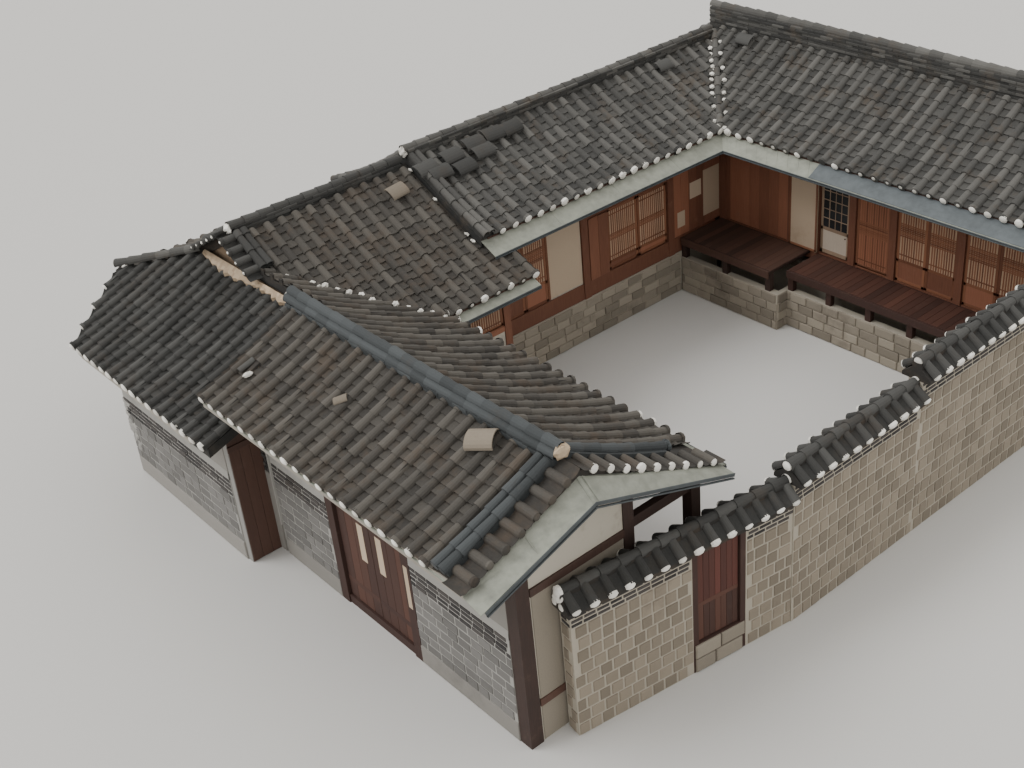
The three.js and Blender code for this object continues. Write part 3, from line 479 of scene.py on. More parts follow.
def pathTiles(sheet, path, radius, course=tiles["course"]):
    # Half-round tiles end to end along a path of points, each a little wider at its first end
    places = np.concatenate([[0.0], np.cumsum(np.linalg.norm(np.diff(path, axis=0), axis=1))])
    count = max(1, int(round(places[-1] / course)))
    share = ((np.arange(count)[:, None] + lapSteps) / count).reshape(-1)

    def read(where):
        return stack(*(np.interp(where * places[-1], places, column) for column in path.T))

    ahead = unit(read(np.minimum(share + 0.01, 1)) - read(np.maximum(share - 0.01, 0)))
    sides = unit(np.cross(ahead, zAxis))
    rises = np.cross(sides, ahead)
    nudge = np.repeat(spread((count, 2), 0.005), 3, axis=0)
    centres = read(share) + nudge[:, :1] * sides + nudge[:, 1:] * rises
    sizes = radius * (np.tile(tiles["flare"], count) + np.repeat(spread(count, 0.03), 3))
    shades = 0.3 + 0.7 * np.repeat(chance.random(count), 3)[1:, None]
    sheet.sweep(centres, sides, rises, ridgeArc, sizes, shades)


def lumps(sheet, centres, radii):
    # Rough mortar lumps: an ellipsoid whose radius waves as 1 + 0.13 sin(3 turn + 5 rise + its own start)
    centres = np.atleast_2d(centres)
    radii = np.broadcast_to(radii, centres.shape)[:, None, None]
    turn, rise = np.meshgrid(np.linspace(0, 2 * np.pi, 10), np.linspace(-np.pi / 2, np.pi / 2, 6))
    wave = 1 + 0.13 * np.sin(3 * turn + 5 * rise + 6 * chance.random((len(centres), 1, 1)))
    ball = stack(np.cos(rise) * np.cos(turn), np.cos(rise) * np.sin(turn), np.sin(rise))
    reach = radii * wave[..., None] * ball
    sheet.grid(centres[:, None, None] + reach, chance.random((len(centres), 1, 1)), None, reach[:, :-1, :-1])


# For each roof face: its slope (the way it falls, eave, ridge and their heights), the first and last row of
# cover tiles and how many rows there are, the places that the outermost hollow tiles reach, the lines where
# the tiles begin (0 if not given) and end, the share of mouths with a white plug, alike or by place (half if
# not given), the share of the others that have a small pale one (0.3 if not given), the size of the white
# ones, a lost tile (row, tile), the finish, and the first and last rafter
fields = {
    "street": dict(slope=("y", -6.30, -4.50, 2.56, 3.29), rows=(-2.185, 3.02, 20), reach=(-2.33, 3.2),
                   end=1.70, white=1, faint=0, size=0.82, lost=(1, 2), rafters=(-2.2, 3.65)),
    "yardFront": dict(slope=("y", -2.10, -4.50, 2.11, 3.29), rows=(-3.98, 3.02, 27), reach=(-4.12, 3.2),
                      begin=[(-4.1, 2.02), (-2.08, 0), (9, 0)], end=[(-2.32, 2.02), (-2.31, 2.30), (9, 2.30)],
                      white=0.45, faint=0.8, rafters=(-1.95, 3.65)),
    "left": dict(slope=("y", -6.52, -4.125, 1.89, 2.81), rows=(-7.12, -2.09, 20), reach=(-7.3, -2.0),
                 begin=[(-7.35, 1.42), (-6.35, 0), (9, 0)],
                 end=[(-7.35, 1.42), (-5.9, 2.38), (-2.32, 2.38), (-2.31, 0.94), (9, 0.94)],
                 white=1, look="dark_tile", rafters=(-6.1, -2.6)),
    "lowerIn": dict(slope=("x", -2.08, -4.85, 2.11, 3.50), rows=(-3.784, -0.20, 14), reach=(-3.94, -0.12),
                    begin=[(-4.12, 2.02), (-2.1, 0), (9, 0)],
                    end=[(-9, 2.67), (-0.60, 2.67), (-0.59, 0.84), (9, 0.84)],
                    white=0.55, faint=1, rafters=(-1.95, -0.25)),
    "lowerOut": dict(slope=("x", -7.35, -4.85, 2.30, 3.50), rows=(-5.02, -0.70, 17), reach=(-5.1, -0.6),
                     end=[(-5.1, 0.05), (-4.125, 1.45), (-4.12, 1.50), (-3.86, 1.50), (-3.85, 2.40),
                          (9, 2.40)],
                     rafters=(-4.9, -0.7)),
    "upperIn": dict(slope=("x", -2.90, -4.85, 2.65, 3.60), rows=(-0.165, 6.917, 26), reach=(-0.36, 7.1),
                    begin=[(-9, 0), (5.33, 0), (7.28, 1.95)], end=1.85, white=1, look="grey_tile",
                    rafters=(-0.4, 5.2)),
    "upperOut": dict(slope=("x", -7.35, -4.85, 2.36, 3.60), rows=(-0.165, 9.501, 35), reach=(-0.36, 9.62),
                     end=[(-9, 2.40), (7.5, 2.40), (7.6, 2.38), (9.67, 0)], look="grey_tile",
                     rafters=(-0.4, 9.4)),
    "mainFront": dict(slope=("y", 5.33, 7.50, 2.65, 3.79), rows=(-4.635, 3.42, 30), reach=(-4.8, 3.53),
                      begin=[(-4.85, 1.95), (-2.9, 0), (9, 0)], end=2.04, look="grey_tile", faint=0.75,
                      white=[(-2.01, 1), (-2, 0), (-1.1, 0), (-1.09, 1), (-0.95, 1), (-0.94, 0), (-0.27, 0),
                             (-0.26, 1), (-0.11, 1), (-0.1, 0), (1.95, 0), (1.96, 1), (2.1, 1), (2.11, 0),
                             (2.5, 0), (2.51, 1)], rafters=(-2.75, 3.65)),
    "mainBack": dict(slope=("y", 9.67, 7.50, 2.42, 3.79), rows=(-7.136, 3.42, 39), reach=(-7.3, 3.53),
                     end=[(-7.35, 0), (-4.85, 2.04), (9, 2.04)], look="grey_tile", rafters=(-7.1, 3.65)),
}
slopes = {name: Slope(*field["slope"]) for name, field in fields.items()}
for name, field in fields.items():
    slope, over, begin = slopes[name], tiles["overhang"], field.get("begin", 0)
    rows = np.linspace(*field["rows"])
    start, end = cornerLine(rows, begin) - over, cornerLine(rows, field["end"])
    fits = end > start + tiles["shortest"]
    covers, plugs = Sheet(), Sheet()
    coverTiles(covers, slope, rows[fits], start[fits], end[fits], lost=field.get("lost"))
    edges = np.array([field["reach"][0] - tiles["panEdge"], *rows, field["reach"][1] + tiles["panEdge"]])
    panTiles(covers, slope, edges, begin, field["end"], over - 0.01)
    white = chance.random(len(rows)) < cornerLine(rows, field.get("white", 0.5))
    faint = ~white & (chance.random(len(rows)) < field.get("faint", 0.3))
    mouths = slope.at(rows, start - 0.004, tiles["lift"] + 0.012)
    downhill, square = -slope.uphill(0.0), slope.normal(0.0)
    facingOut, radius = (downhill, slope.side, square), tiles["radius"]
    moundPlugs(covers, mouths[fits], *facingOut, radius * 1.04, 0.06)
    moundPlugs(plugs, mouths[fits & white] + 0.012 * downhill, *facingOut, radius * field.get("size", 0.96))
    moundPlugs(plugs, mouths[fits & faint] + 0.01 * downhill, *facingOut, radius * 0.5, 0.2, 0.1)
    covers.finish(name + "Tiles", "roof_tile", field.get("look"))
    plugs.finish(name + "Plugs", "mortar", "plug")
print("stage: the roofs are tiled")

# Ridges: thin courses of flat tile, staggered, under a row of half-round tiles
ridgeSizes = {"course": 0.048, "slab": 0.3, "ledge": 0.03}
mortarBits, tanBits = Sheet(), Sheet()


def slabCourses(sheet, start, end, width, low, high):
    # Courses of slabs along a level line, each second course a little wider than the one below
    start, end = np.array([*start, 0.0]), np.array([*end, 0.0])
    length = np.linalg.norm(end - start)
    ahead = (end - start) / length
    for course in range(max(1, int(round((high - low) / ridgeSizes["course"])))):
        count = max(1, int(round(length / ridgeSizes["slab"])))
        edges = np.clip((np.arange(count + 2) - 0.5 * (course % 2)) * length / count, 0, length)
        middles, long = (edges[:-1] + edges[1:]) / 2, np.diff(edges) - 0.006
        middles, long = middles[long > 0.03], long[long > 0.03]
        centres = start + middles[:, None] * ahead + [0, 0, low + course * ridgeSizes["course"]]
        across = width + ridgeSizes["ledge"] * (course % 2) + spread(len(middles), 0.009)
        sizes = stack(across, long, ridgeSizes["course"] - 0.005)
        sheet.blocks(centres, ahead, zAxis, sizes, 0.006, 0.1 + 0.9 * chance.random(len(middles)) ** 2)


def levelRun(x0, y0, x1, y1, z, sag=0.0):
    # A line that sags in the middle as 4 share (1 - share)
    share = np.linspace(0, 1, 9)
    heights = z - sag * 4 * share * (1 - share)
    return stack(x0 + (x1 - x0) * share, y0 + (y1 - y0) * share, heights)


def bedRow(sheet, start, end, width, low, high):
    # The mortar bed that closes the foot of a ridge
    start, end = np.array([*start, low]), np.array([*end, low])
    sizes = [width, np.linalg.norm(end - start), high - low]
    sheet.blocks((start + end) / 2, unit(end - start), zAxis, sizes, 0.004, 0.2)


def vergeBand(sheet, slope, along, ups, half, height, shade=0.2):
    # A raised bed down a slope: a box-shaped profile swept along it and closed at both ends
    ups = np.linspace(*ups, 9)
    profile = np.array([(half, -0.02), (half - 0.005, height), (0.005 - half, height), (-half, -0.02)])
    middles, square = slope.at(along, ups), slope.normal(ups)
    sheet.sweep(middles, slope.side, square, profile, 1.0, shade)
    for place, way in ((0, -1), (-1, 1)):
        corners = middles[place] + profile[:, :1] * slope.side + profile[:, 1:] * square[place]
        sheet.grid(corners[[[0, 3], [1, 2]]], shade, None, way * slope.uphill(ups[place]))


# For each ridge: its ends, the width, foot and top of its bed and of its slabs, the ends, height and sag of
# its top row, that row's radius, the middle of the band down its verge, the radius and lift of the band's
# tiles, half the band's width and its height, where on each slope the tiles begin, the band begins and both
# end, the finish, the node that it replaces, and the lumps of mortar at its ends
ridges = {
    "main": dict(ends=((-5.05, 7.5), (3.5, 7.5)), bed=(0.26, 3.69, 3.76), slabs=(0.25, 3.75, 4.09),
                 top=(-5.08, 7.5, 3.56, 7.5, 4.1), radius=0.088, verge=3.625, small=(0.066, 0.11),
                 band=(0.12, 0.1), runs={"mainFront": (-0.05, 0.0, 2.04), "mainBack": (-0.05, 0.0, 2.04)},
                 look="grey_tile", node="main_ridge",
                 bits=[([(-5.06, 7.5, 4.06), (3.54, 7.5, 4.03)], (0.05, 0.11, 0.1))]),
    "upper": dict(ends=((-4.85, -0.56), (-4.85, 7.12)), bed=(0.22, 3.5, 3.57), slabs=(0.2, 3.56, 3.73),
                  top=(-4.85, -0.62, -4.85, 7.18, 3.735, 0.02), radius=0.082, verge=-0.46, small=(0.064, 0.1),
                  band=(0.115, 0.09), runs={"upperIn": (-0.05, 0.0, 1.9), "upperOut": (-0.05, 0.0, 2.44)},
                  look="grey_tile", node="upper_back_ridge",
                  bits=[([(-4.85, -0.6, 3.7)], (0.1, 0.06, 0.1)), ([(-4.85, 7.16, 3.7)], (0.08, 0.05, 0.07)),
                        ([(-7.2, -5.02, 2.5), (-7.3, -4.98, 2.42)], (0.08, 0.07, 0.06))]),
    "lower": dict(ends=((-4.85, -4.06), (-4.85, -0.74)), bed=(0.21, 3.4, 3.47), slabs=(0.19, 3.46, 3.61),
                  top=(-4.85, -4.12, -4.85, -0.7, 3.61, 0.015), radius=0.078, verge=-3.99, small=(0.064, 0.1),
                  band=(0.115, 0.09), runs={"lowerIn": (2.0, 2.0, 2.7), "lowerOut": (1.5, 1.5, 2.44)},
                  look="dark_tile", node="lower_back_ridge",
                  bits=[([(-4.85, -4.13, 3.58), (-5.78, -3.99, 3.1)], (0.09, 0.06, 0.09))]),
}
for name, ridge in ridges.items():
    sheet = Sheet()
    bedRow(sheet, *ridge["ends"], *ridge["bed"])
    slabCourses(sheet, *ridge["ends"], *ridge["slabs"])
    pathTiles(sheet, levelRun(*ridge["top"]), ridge["radius"])
    for slopeName, (begin, foot, reach) in ridge["runs"].items():
        slope, rows = slopes[slopeName], ridge["verge"] + np.array([-0.06, 0.06])
        coverTiles(sheet, slope, rows, begin, reach, *ridge["small"])
        vergeBand(sheet, slope, ridge["verge"], (foot, reach), *ridge["band"])
    sheet.finish(name + "RidgeTiles", "roof_tile", ridge["look"], replaces=[ridge["node"]])
    for centres, radii in ridge["bits"]:
        lumps(mortarBits, centres, radii)

# Tan mortar over the left roof's topmost tile ends, with a ragged lower edge: its width on the roof is
# 0.1 plus 0.035 times a random number at each station, fading to about a third at both ends
share = np.linspace(0, 1, 48)
stations = np.linspace(-5.75, -2.5, 48)
fade = np.clip(8 * np.minimum(share, share[::-1]), 0.35, 1)
reaches = fade * (0.1 + 0.035 * chance.uniform(-1, 1, 48)) + 0.05 * np.clip(-3.9 - stations, 0, 1)
lifts = np.array([0.15, 0.135, 0.115, 0.05]) + spread((48, 4), 0.006)
strip = slopes["left"].at(stations[:, None], 2.4 - np.array([0.0, 0.5, 0.9, 1.0]) * reaches[:, None], lifts)
tanBits.grid(strip, 0.35 + 0.5 * chance.random((47, 3)))

# The front ridge: three rows of tiles, and a band down each slope with an upturned tile on the yard side
frontRidge, frontEnds = Sheet(), ((-2.42, -4.5), (3.45, -4.5))
bedRow(frontRidge, *frontEnds, 0.25, 3.18, 3.27)
slabCourses(frontRidge, *frontEnds, 0.27, 3.25, 3.365)
for across, height, radius in ((-0.072, 3.39, 0.072), (0.072, 3.39, 0.072), (0.0, 3.475, 0.076)):
    pathTiles(frontRidge, levelRun(-2.44, -4.5 + across, 3.47, -4.5 + across, height, 0.03), radius)
lumps(tanBits, (3.47, -4.5, 3.42), (0.07, 0.13, 0.1))
lumps(mortarBits, (-2.44, -4.5, 3.4), (0.07, 0.13, 0.1))
for name, begin, end, rows in (("street", -0.02, 1.7, [3.245, 3.385]), ("yardFront", 0.6, 2.3, [3.315])):
    slope = slopes[name]
    coverTiles(frontRidge, slope, rows, begin, end, 0.068, 0.115)
    vergeBand(frontRidge, slope, 3.315, (begin + 0.03, end + 0.05), 0.135, 0.095, 0.25)
    centres, downhill = slope.at(rows, begin, 0.12), -slope.uphill(0.5)
    moundPlugs(frontRidge, centres, downhill, slope.side, slope.normal(0.5), 0.062, 0.1)
lumps(frontRidge, slopes["yardFront"].at(3.315, 0.55, 0.12), (0.09, 0.05, 0.09))
frontRidge.finish("frontRidgeTiles", "ridge_tile", replaces=["front_ridge"])


def trough(depth):
    # The profile of a hollow tile: depth * across^2
    across = np.linspace(-1, 1, 6)
    return stack(across, depth * across ** 2)


def wingTiles(sheet, plugs, slope, ups, inner, outer):
    # Short wing tiles run out from a gable's bands to its verge, hollow tiles between them
    outward = np.sign(outer - inner) * slope.side
    places = np.linspace(inner, outer, 3)
    shades = 0.3 + 0.6 * chance.random((len(ups), 1, 1))
    centres, square = slope.at(places, ups[:, None], 0.035), slope.normal(ups)[:, None]
    sheet.sweep(centres, slope.uphill(ups)[:, None], square, coverArc, 0.066, shades)
    gap = ups[1] - ups[0]
    between = np.linspace(ups[0] - gap / 2, ups[-1] + gap / 2, len(ups) + 1)
    centres, square = slope.at(places, between[:, None], 0.012), slope.normal(between)[:, None]
    uphill, halfWidth = slope.uphill(between)[:, None], gap / 2 - 0.02
    sheet.sweep(centres, uphill, square, trough(0.3), halfWidth, 0.2, None, zAxis)
    ends = slope.at(outer, ups, 0.045) + 0.003 * outward
    moundPlugs(plugs, ends, outward, slope.uphill(ups), slope.normal(ups), 0.06, 0.3)


wings, wingPlugs = Sheet(), Sheet()
wingTiles(wings, wings, slopes["street"], np.linspace(0.12, 1.6, 7), 3.44, 3.79)
wingTiles(wings, wingPlugs, slopes["yardFront"], np.linspace(0.13, 2.2, 9), 3.44, 3.79)
wings.finish("frontWingTiles", "roof_tile")
wingPlugs.finish("frontWingPlugs", "mortar", "plug")
backWings, mouths = Sheet(), []
for name, ups in (("lowerIn", np.linspace(2.06, 2.66, 4)), ("lowerOut", np.linspace(1.56, 2.4, 5))):
    wingTiles(backWings, backWings, slopes[name], ups, -4.1, -4.36)
    mouths.append(slopes[name].at(-4.37, ups, 0.05))
backWings.finish("backWingTiles", "roof_tile", "dark_tile")
lumps(mortarBits, np.concatenate(mouths), (0.03, 0.018, 0.026))

# Brown mud and a white lump where a cover tile is missing near the street roof's left edge
slope, ups = slopes["street"], np.linspace(0.5, 0.86, 5)
mud = slope.at(-1.91, ups, 0.03)
tanBits.sweep(mud, slope.side, slope.normal(ups), coverArc, 0.045 + spread(5, 0.004), 0.1)
lumps(mortarBits, slope.at(-1.86, 0.6, 0.08), (0.05, 0.09, 0.035))

# Hips and valleys: a row of tiles along each line where two slopes meet
hips = Sheet()
for name, along, ups, above, radius in (
    ("mainBack", (-7.38, -4.9), (-0.02, 2.13), 0.13, 0.085),
    ("left", (-7.36, -5.92), (1.41, 2.36), 0.12, 0.08),
    ("mainFront", (-2.96, -4.78), (0.02, 1.88), 0.07, 0.07),
):
    line = slopes[name].at(np.linspace(*along, 8), np.linspace(*ups, 8)) + above * zAxis
    pathTiles(hips, line, radius)
hips.finish("hipTiles", "roof_tile", "grey_tile")


def valleyBits(slope, start, end, share, size):
    # Mortar left on the tiles' cut ends either side of a valley
    path = np.linspace(slope.at(*start), slope.at(*end), 15)
    sides = np.array([(0.12, 0.03, 0.03), (-0.03, -0.12, 0.03)])
    places = (path[:, None] + sides).reshape(-1, 3) + spread((30, 3), 0.02)
    lumps(mortarBits, places[chance.random(30) < share], size)


valleyBits(slopes["lowerIn"], (-2.15, 0.05), (-4.0, 1.9), 0.8, (0.055, 0.055, 0.045))
valleyBits(slopes["mainFront"], (-2.95, 0.02), (-4.75, 1.85), 0.6, (0.05, 0.05, 0.04))
# White mortar on the main roof's right verge and along the foot of the back wing's gable step
lumps(mortarBits, slopes["mainFront"].at(3.755, np.linspace(0.05, 2.0, 14), 0.05), (0.02, 0.09, 0.045))
step = slopes["lowerIn"].at(-0.63, np.linspace(0.85, 2.6, 12), 0.03)
lumps(mortarBits, step[chance.random(12) < 0.6], (0.07, 0.03, 0.03))
mortarBits.finish("whiteMortarBits", "mortar", "plug")
print("stage: the ridges, hips and valleys are laid")

# Rafters under the eaves, an eave board on each roof's edge
rafterSizes = {"radius": 0.045, "pitch": 0.3, "foot": 0.05, "middle": 0.35, "reach": 0.68, "leftReach": 0.48}
rafters, eaveBoards = Sheet(), Sheet()
for name, field in fields.items():
    slope, size, (first, last) = slopes[name], rafterSizes, field["rafters"]
    places = np.linspace(first, last, int(round((last - first) / size["pitch"])) + 1)
    ups = np.array([size["foot"], size["middle"], size["leftReach" if name == "left" else "reach"]])
    centres = slope.at(places[:, None], ups, -0.165 - size["radius"])
    shades = chance.random((len(places), 1, 1))
    rafters.sweep(centres, slope.side, slope.normal(ups), arc(0, 360), size["radius"], shades)
    downhill, square = -slope.uphill(ups[0]), slope.normal(ups[0])
    moundPlugs(rafters, centres[:, 0], downhill, slope.side, square, size["radius"] * 0.98, 0.02)
    edge = slope.at((first + last) / 2, -0.002) - 0.09 * zAxis
    board = eaveBoards if name in ("street", "left") else rafters
    board.blocks(edge, zAxis, -slope.sign * slope.across, [last - first + 0.12, 0.13, 0.02])
rafters.finish("rafters", "dark_wood")
eaveBoards.finish("streetEaveBoards", "dark_wood", "eave_wood")
print("stage: the rafters are in")


class Wall:
    # An upright face between two points in plan, seen with its start on the left
    def __init__(self, start, end):
        start, end = np.array([*start, 0.0]), np.array([*end, 0.0])
        self.start, self.length = start, np.linalg.norm(end - start)
        self.along = (end - start) / self.length
        self.out = np.cross(self.along, zAxis)

    def at(self, along, height, out=0.0):
        along, height, out = (np.asarray(value)[..., None] for value in (along, height, out))
        return self.start + along * self.along + height * zAxis + out * self.out

    # Blocks set on the face by their middles, sizes (along, height, depth) and distance out from the face
    def set(self, sheet, along, height, sizes, out, bevel, shades=None):
        sheet.blocks(self.at(along, height, out).reshape(-1, 3), zAxis, self.out, sizes, bevel, shades)

    # One block between two places and two heights
    def panel(self, sheet, span, low, high, depth, out=0.0, bevel=0.003, shades=None):
        sizes = [span[1] - span[0], high - low, depth]
        self.set(sheet, (span[0] + span[1]) / 2, (low + high) / 2, sizes, out, bevel, shades)

    # Courses of bricks or stones of uneven lengths, each course shifted from the one below
    def courses(self, sheet, span, low, high, rise, length, depth, joint, bevel, ragged=0.2):
        rows = max(1, int(round((high - low) / rise)))
        step = (high - low) / rows
        for row in range(rows):
            count = int((span[1] - span[0]) / length / (1 - ragged)) + 2
            widths = length * (1 + spread(count, ragged))
            edges = span[0] - length * chance.random() + np.concatenate([[0.0], np.cumsum(widths)])
            edges = np.clip(edges, *span)
            wide = np.diff(edges) > 3 * joint
            left, right = edges[:-1][wide], edges[1:][wide]
            depths = depth * (1 + spread(len(left), 0.25))
            sizes = stack(right - left - joint, step - joint, depths)
            self.set(sheet, (left + right) / 2, low + (row + 0.5) * step, sizes, 0.0, bevel)

    def boards(self, sheet, span, low, high, width, depth, out=0.0):
        count = max(1, int(round((span[1] - span[0]) / width)))
        step = (span[1] - span[0]) / count
        middles = span[0] + (np.arange(count) + 0.5) * step
        depths = depth + spread(count, 0.15 * depth)
        self.set(sheet, middles, (low + high) / 2, stack(step - 0.005, high - low, depths), out, 0.003)


stones, streetStones, gardenStones = Sheet(), Sheet(), Sheet()
bricks, joints, greyPlaster = Sheet(), Sheet(), Sheet()
ground = -tie["yard"]  # the street's level

# How a street wall is built up: heights of its plinth and courses, depths out from its face, rows of brick
facing = {
    "plinth": 0.33, "ledge": 0.022, "rows": 4,
    "stones": dict(rise=0.17, length=0.27, depth=0.024, joint=0.024, bevel=0.005),
    "bricks": dict(rise=0.083, length=0.235, depth=0.025, joint=0.024, bevel=0.004, ragged=0.08),
}


def faceWall(wall, span, brickTop, plasterTop=None):
    # A smooth plinth, stone courses, rows of dark brick, a sloping mortar ledge and smooth plaster above
    size, inside = facing, (span[0] + 0.003, span[1] - 0.003)
    foot, brickLow = ground + size["plinth"], brickTop - size["rows"] * size["bricks"]["rise"]
    wall.panel(greyPlaster, inside, ground + 0.01, foot, 0.03, 0.0, 0.008)
    wall.courses(streetStones, span, foot, brickLow, **size["stones"])
    wall.courses(bricks, span, brickLow, brickTop, **size["bricks"])
    filler = [span[1] - span[0] - 0.02, brickTop - ground, 0.016]
    wall.set(joints, sum(span) / 2, (brickTop + ground) / 2, filler, 0.0, 0.002, 0.5)
    if plasterTop is not None:
        wall.panel(greyPlaster, inside, brickTop + 0.12, plasterTop, 0.014)
        ledge = np.array([(0.0, 0.16), (0.016, 0.15), (size["ledge"], 0.0), (0.0, -0.002)])
        ends = wall.at(np.array(span) + [0.004, -0.004], brickTop)
        joints.sweep(ends, wall.out, zAxis, ledge, 1.0, 0.45)


leftStreet, mainStreet = Wall((-6.1, -6.05), (-2.45, -6.05)), Wall((-2.45, -5.5), (3.6, -5.5))
faceWall(leftStreet, (0.0, 3.52), 0.80, 1.86)
faceWall(mainStreet, (0.24, 1.73), 1.03, 2.72)
# Bare rough mortar where the facing has fallen from the left corner
patch = leftStreet.at(0.2 * chance.random(22) ** 1.5, 0.72 - 0.95 * chance.random(22) ** 1.3, 0.012)
lumps(joints, patch, (0.085, 0.026, 0.07))
# A short strip of brick beside the return wall, over plaster, behind a thin white line
mainStreet.courses(bricks, (0.01, 0.16), 0.78, 1.2, 0.078, 0.13, 0.03, 0.018, 0.005, 0.05)
mainStreet.panel(greyPlaster, (0.01, 0.16), -0.74, 0.77, 0.03)
mainStreet.panel(joints, (0.175, 0.19), -0.2, 1.3, 0.036)
faceWall(mainStreet, (3.73, 5.83), 1.03, 2.72)
cornerFace = Wall((-6.75, -4.9), (-6.10, -6.05))
faceWall(cornerFace, (0.0, cornerFace.length - 0.02), 0.80, 1.86)
# The outer side, the back and the main wing's end
for ends in (((-6.75, 9.0), (-6.75, -4.9)), ((3.54, 9.0), (-6.75, 9.0)), ((3.56, 6.14), (3.56, 8.99))):
    wall = Wall(*ends)
    faceWall(wall, (0.0, wall.length), 0.80)

# The garden wall: dark brick under the cap, squarish stones below, on both faces and the near end
turn = math.radians(8.5)
gardenAlong = np.array([math.sin(turn), math.cos(turn), 0.0])
gardenStart, half = np.array([3.74, -4.89, 0.0]), 0.12  # where it begins, and half its thickness
gardenFaces = {
    "rows": 4, "under": 0.01,  # rows of brick, and how far they end under the wall's top
    "stones": dict(rise=0.215, length=0.205, depth=0.014, joint=0.034, bevel=0.008, ragged=0.12),
    "bricks": dict(rise=0.069, length=0.21, depth=0.009, joint=0.027, bevel=0.003, ragged=0.1),
}
baseStones = dict(rise=0.17, length=0.38, depth=0.025, joint=0.016, bevel=0.012)


def gardenPoint(along, across):
    # Across points to the street side of the turned stretch
    return (gardenStart + along * gardenAlong + across * np.cross(gardenAlong, zAxis))[:2]


def faceGarden(wall, spans, top, foot=ground):
    size = gardenFaces
    brickLow = top - size["rows"] * size["bricks"]["rise"] - size["under"]
    for span in spans:
        wall.courses(gardenStones, span, foot, brickLow, **size["stones"])
        wall.courses(bricks, span, brickLow, top - size["under"], **size["bricks"])


nearOuter = Wall(gardenPoint(0.0, half), gardenPoint(3.64, half))
faceGarden(nearOuter, [(0.0, 1.9), (2.81, 3.625)], 1.40)
# Tan stones face the riser under the side gate
nearOuter.courses(stones, (1.92, 2.79), ground, -0.262, 0.24, 0.5, 0.03, 0.02, 0.014)
for start, end, spans, *heights in (
    (gardenPoint(3.6, -half), gardenPoint(0.0, -half), [(0.04, 0.78), (1.71, 3.55)], 1.40),
    (gardenPoint(0.0, -half), gardenPoint(0.0, half), [(0.02, 2 * half)], 1.40),
    ((4.41, -1.33), (4.41, 1.45), [(0.0, 2.78)], 1.64),
    ((4.41, 1.45), (4.41, 6.1), [(0.0, 4.65)], 1.94),
    ((4.17, 1.45), (4.17, -1.33), [(0.0, 2.78)], 1.64, 0.0),
    ((4.17, 5.85), (4.17, 1.45), [(0.0, 4.4)], 1.94, 0.0),
    ((4.41, 6.1), (3.58, 6.1), [(0.0, 0.82)], 1.94),
):
    faceGarden(Wall(start, end), spans, *heights)

# Stone bases of the wings and of the decks
for start, end, span, low, high in (
    ((-3.47, 0.0), (-3.47, 5.79), (0.0, 4.72), -0.74, 0.1),
    ((-3.5, 5.935), (3.56, 5.935), (0.02, 7.04), -0.05, 0.1),
    ((-1.0, 5.04), (3.54, 5.04), (0.0, 4.54), -0.74, -0.005),
    ((-1.0, 4.76), (-1.0, 5.04), (0.0, 0.28), -0.74, -0.005),
    ((-3.44, 4.76), (-1.0, 4.76), (0.0, 2.44), -0.74, -0.005),
):
    Wall(start, end).courses(stones, span, low, high, **baseStones)

# The gable wall's smooth face, under its brown rail
gableFace = Wall((3.58, -5.29), (3.58, -3.69))
gableFace.panel(stones, (0.02, 1.58), -0.73, 1.72, 0.012, 0.0, 0.003, 0.3)
stones.finish("baseStones", "stonework")
streetStones.finish("streetStones", "stonework", "street_stone")
gardenStones.finish("gardenStones", "stonework", "garden_stone")
bricks.finish("wallBricks", "stonework", "brick")
joints.finish("wallJoints", "stonework", "street_joint")
greyPlaster.finish("smoothPlaster", "plaster", "grey_plaster")
print("stage: the masonry is laid")

# Garden caps: short half-round tiles down both sides of the wall, hollow tiles between, one row along the top
capTiles, capPlugs, capRidges = Sheet(), Sheet(), Sheet()
capSizes = {
    "pitch": 0.268, "radius": 0.066,  # of the tiles down the sides
    "inner": 0.05, "outer": 0.268,    # where they begin and end, out from the wall's middle
    "high": 0.25, "low": 0.1,         # their heights there over the wall's top
    "ridge": 0.275, "ridgeRadius": 0.078, "ridgeCourse": 0.3,
}


def capWall(start, end, top):
    line, size = Wall(start, end), capSizes
    count = max(2, int(round((line.length - 0.1) / size["pitch"])) + 1)
    places = np.linspace(0.07, line.length - 0.07, count)
    between, gap = (places[:-1] + places[1:]) / 2, places[1] - places[0]
    heights = top + np.linspace(size["high"], size["low"], 3)
    for side in (1, -1):
        outs = side * np.linspace(size["inner"], size["outer"], 3)
        fall = unit(side * line.out * (size["outer"] - size["inner"]) - zAxis * (size["high"] - size["low"]))
        square = side * np.cross(fall, line.along)
        centres = line.at(places[:, None], heights, outs)
        widths = size["radius"] * (1 + spread((count, 1), 0.05)) * np.array([0.95, 1.0, 1.07])
        shades = 0.3 + 0.7 * chance.random((count, 1, 1))
        capTiles.sweep(centres, line.along, square, coverArc, widths, shades)
        centres = line.at(between[:, None], heights - 0.022, outs)
        capTiles.sweep(centres, line.along, square, trough(0.32), gap / 2 - 0.03, 0.25, None, zAxis)
        mouths = line.at(places, heights[-1] + 0.006, outs[-1]) + 0.026 * fall
        moundPlugs(capPlugs, mouths, fall, line.along, square, size["radius"], 0.4)
    ridge = line.at(np.linspace(-0.03, line.length + 0.03, 5), top + size["ridge"])
    pathTiles(capRidges, ridge, size["ridgeRadius"], size["ridgeCourse"])
    for end, way in ((ridge[:1], -1), (ridge[-1:], 1)):
        moundPlugs(capPlugs, end + 0.012 * zAxis, way * line.along, line.out, zAxis, 0.072, 0.3)


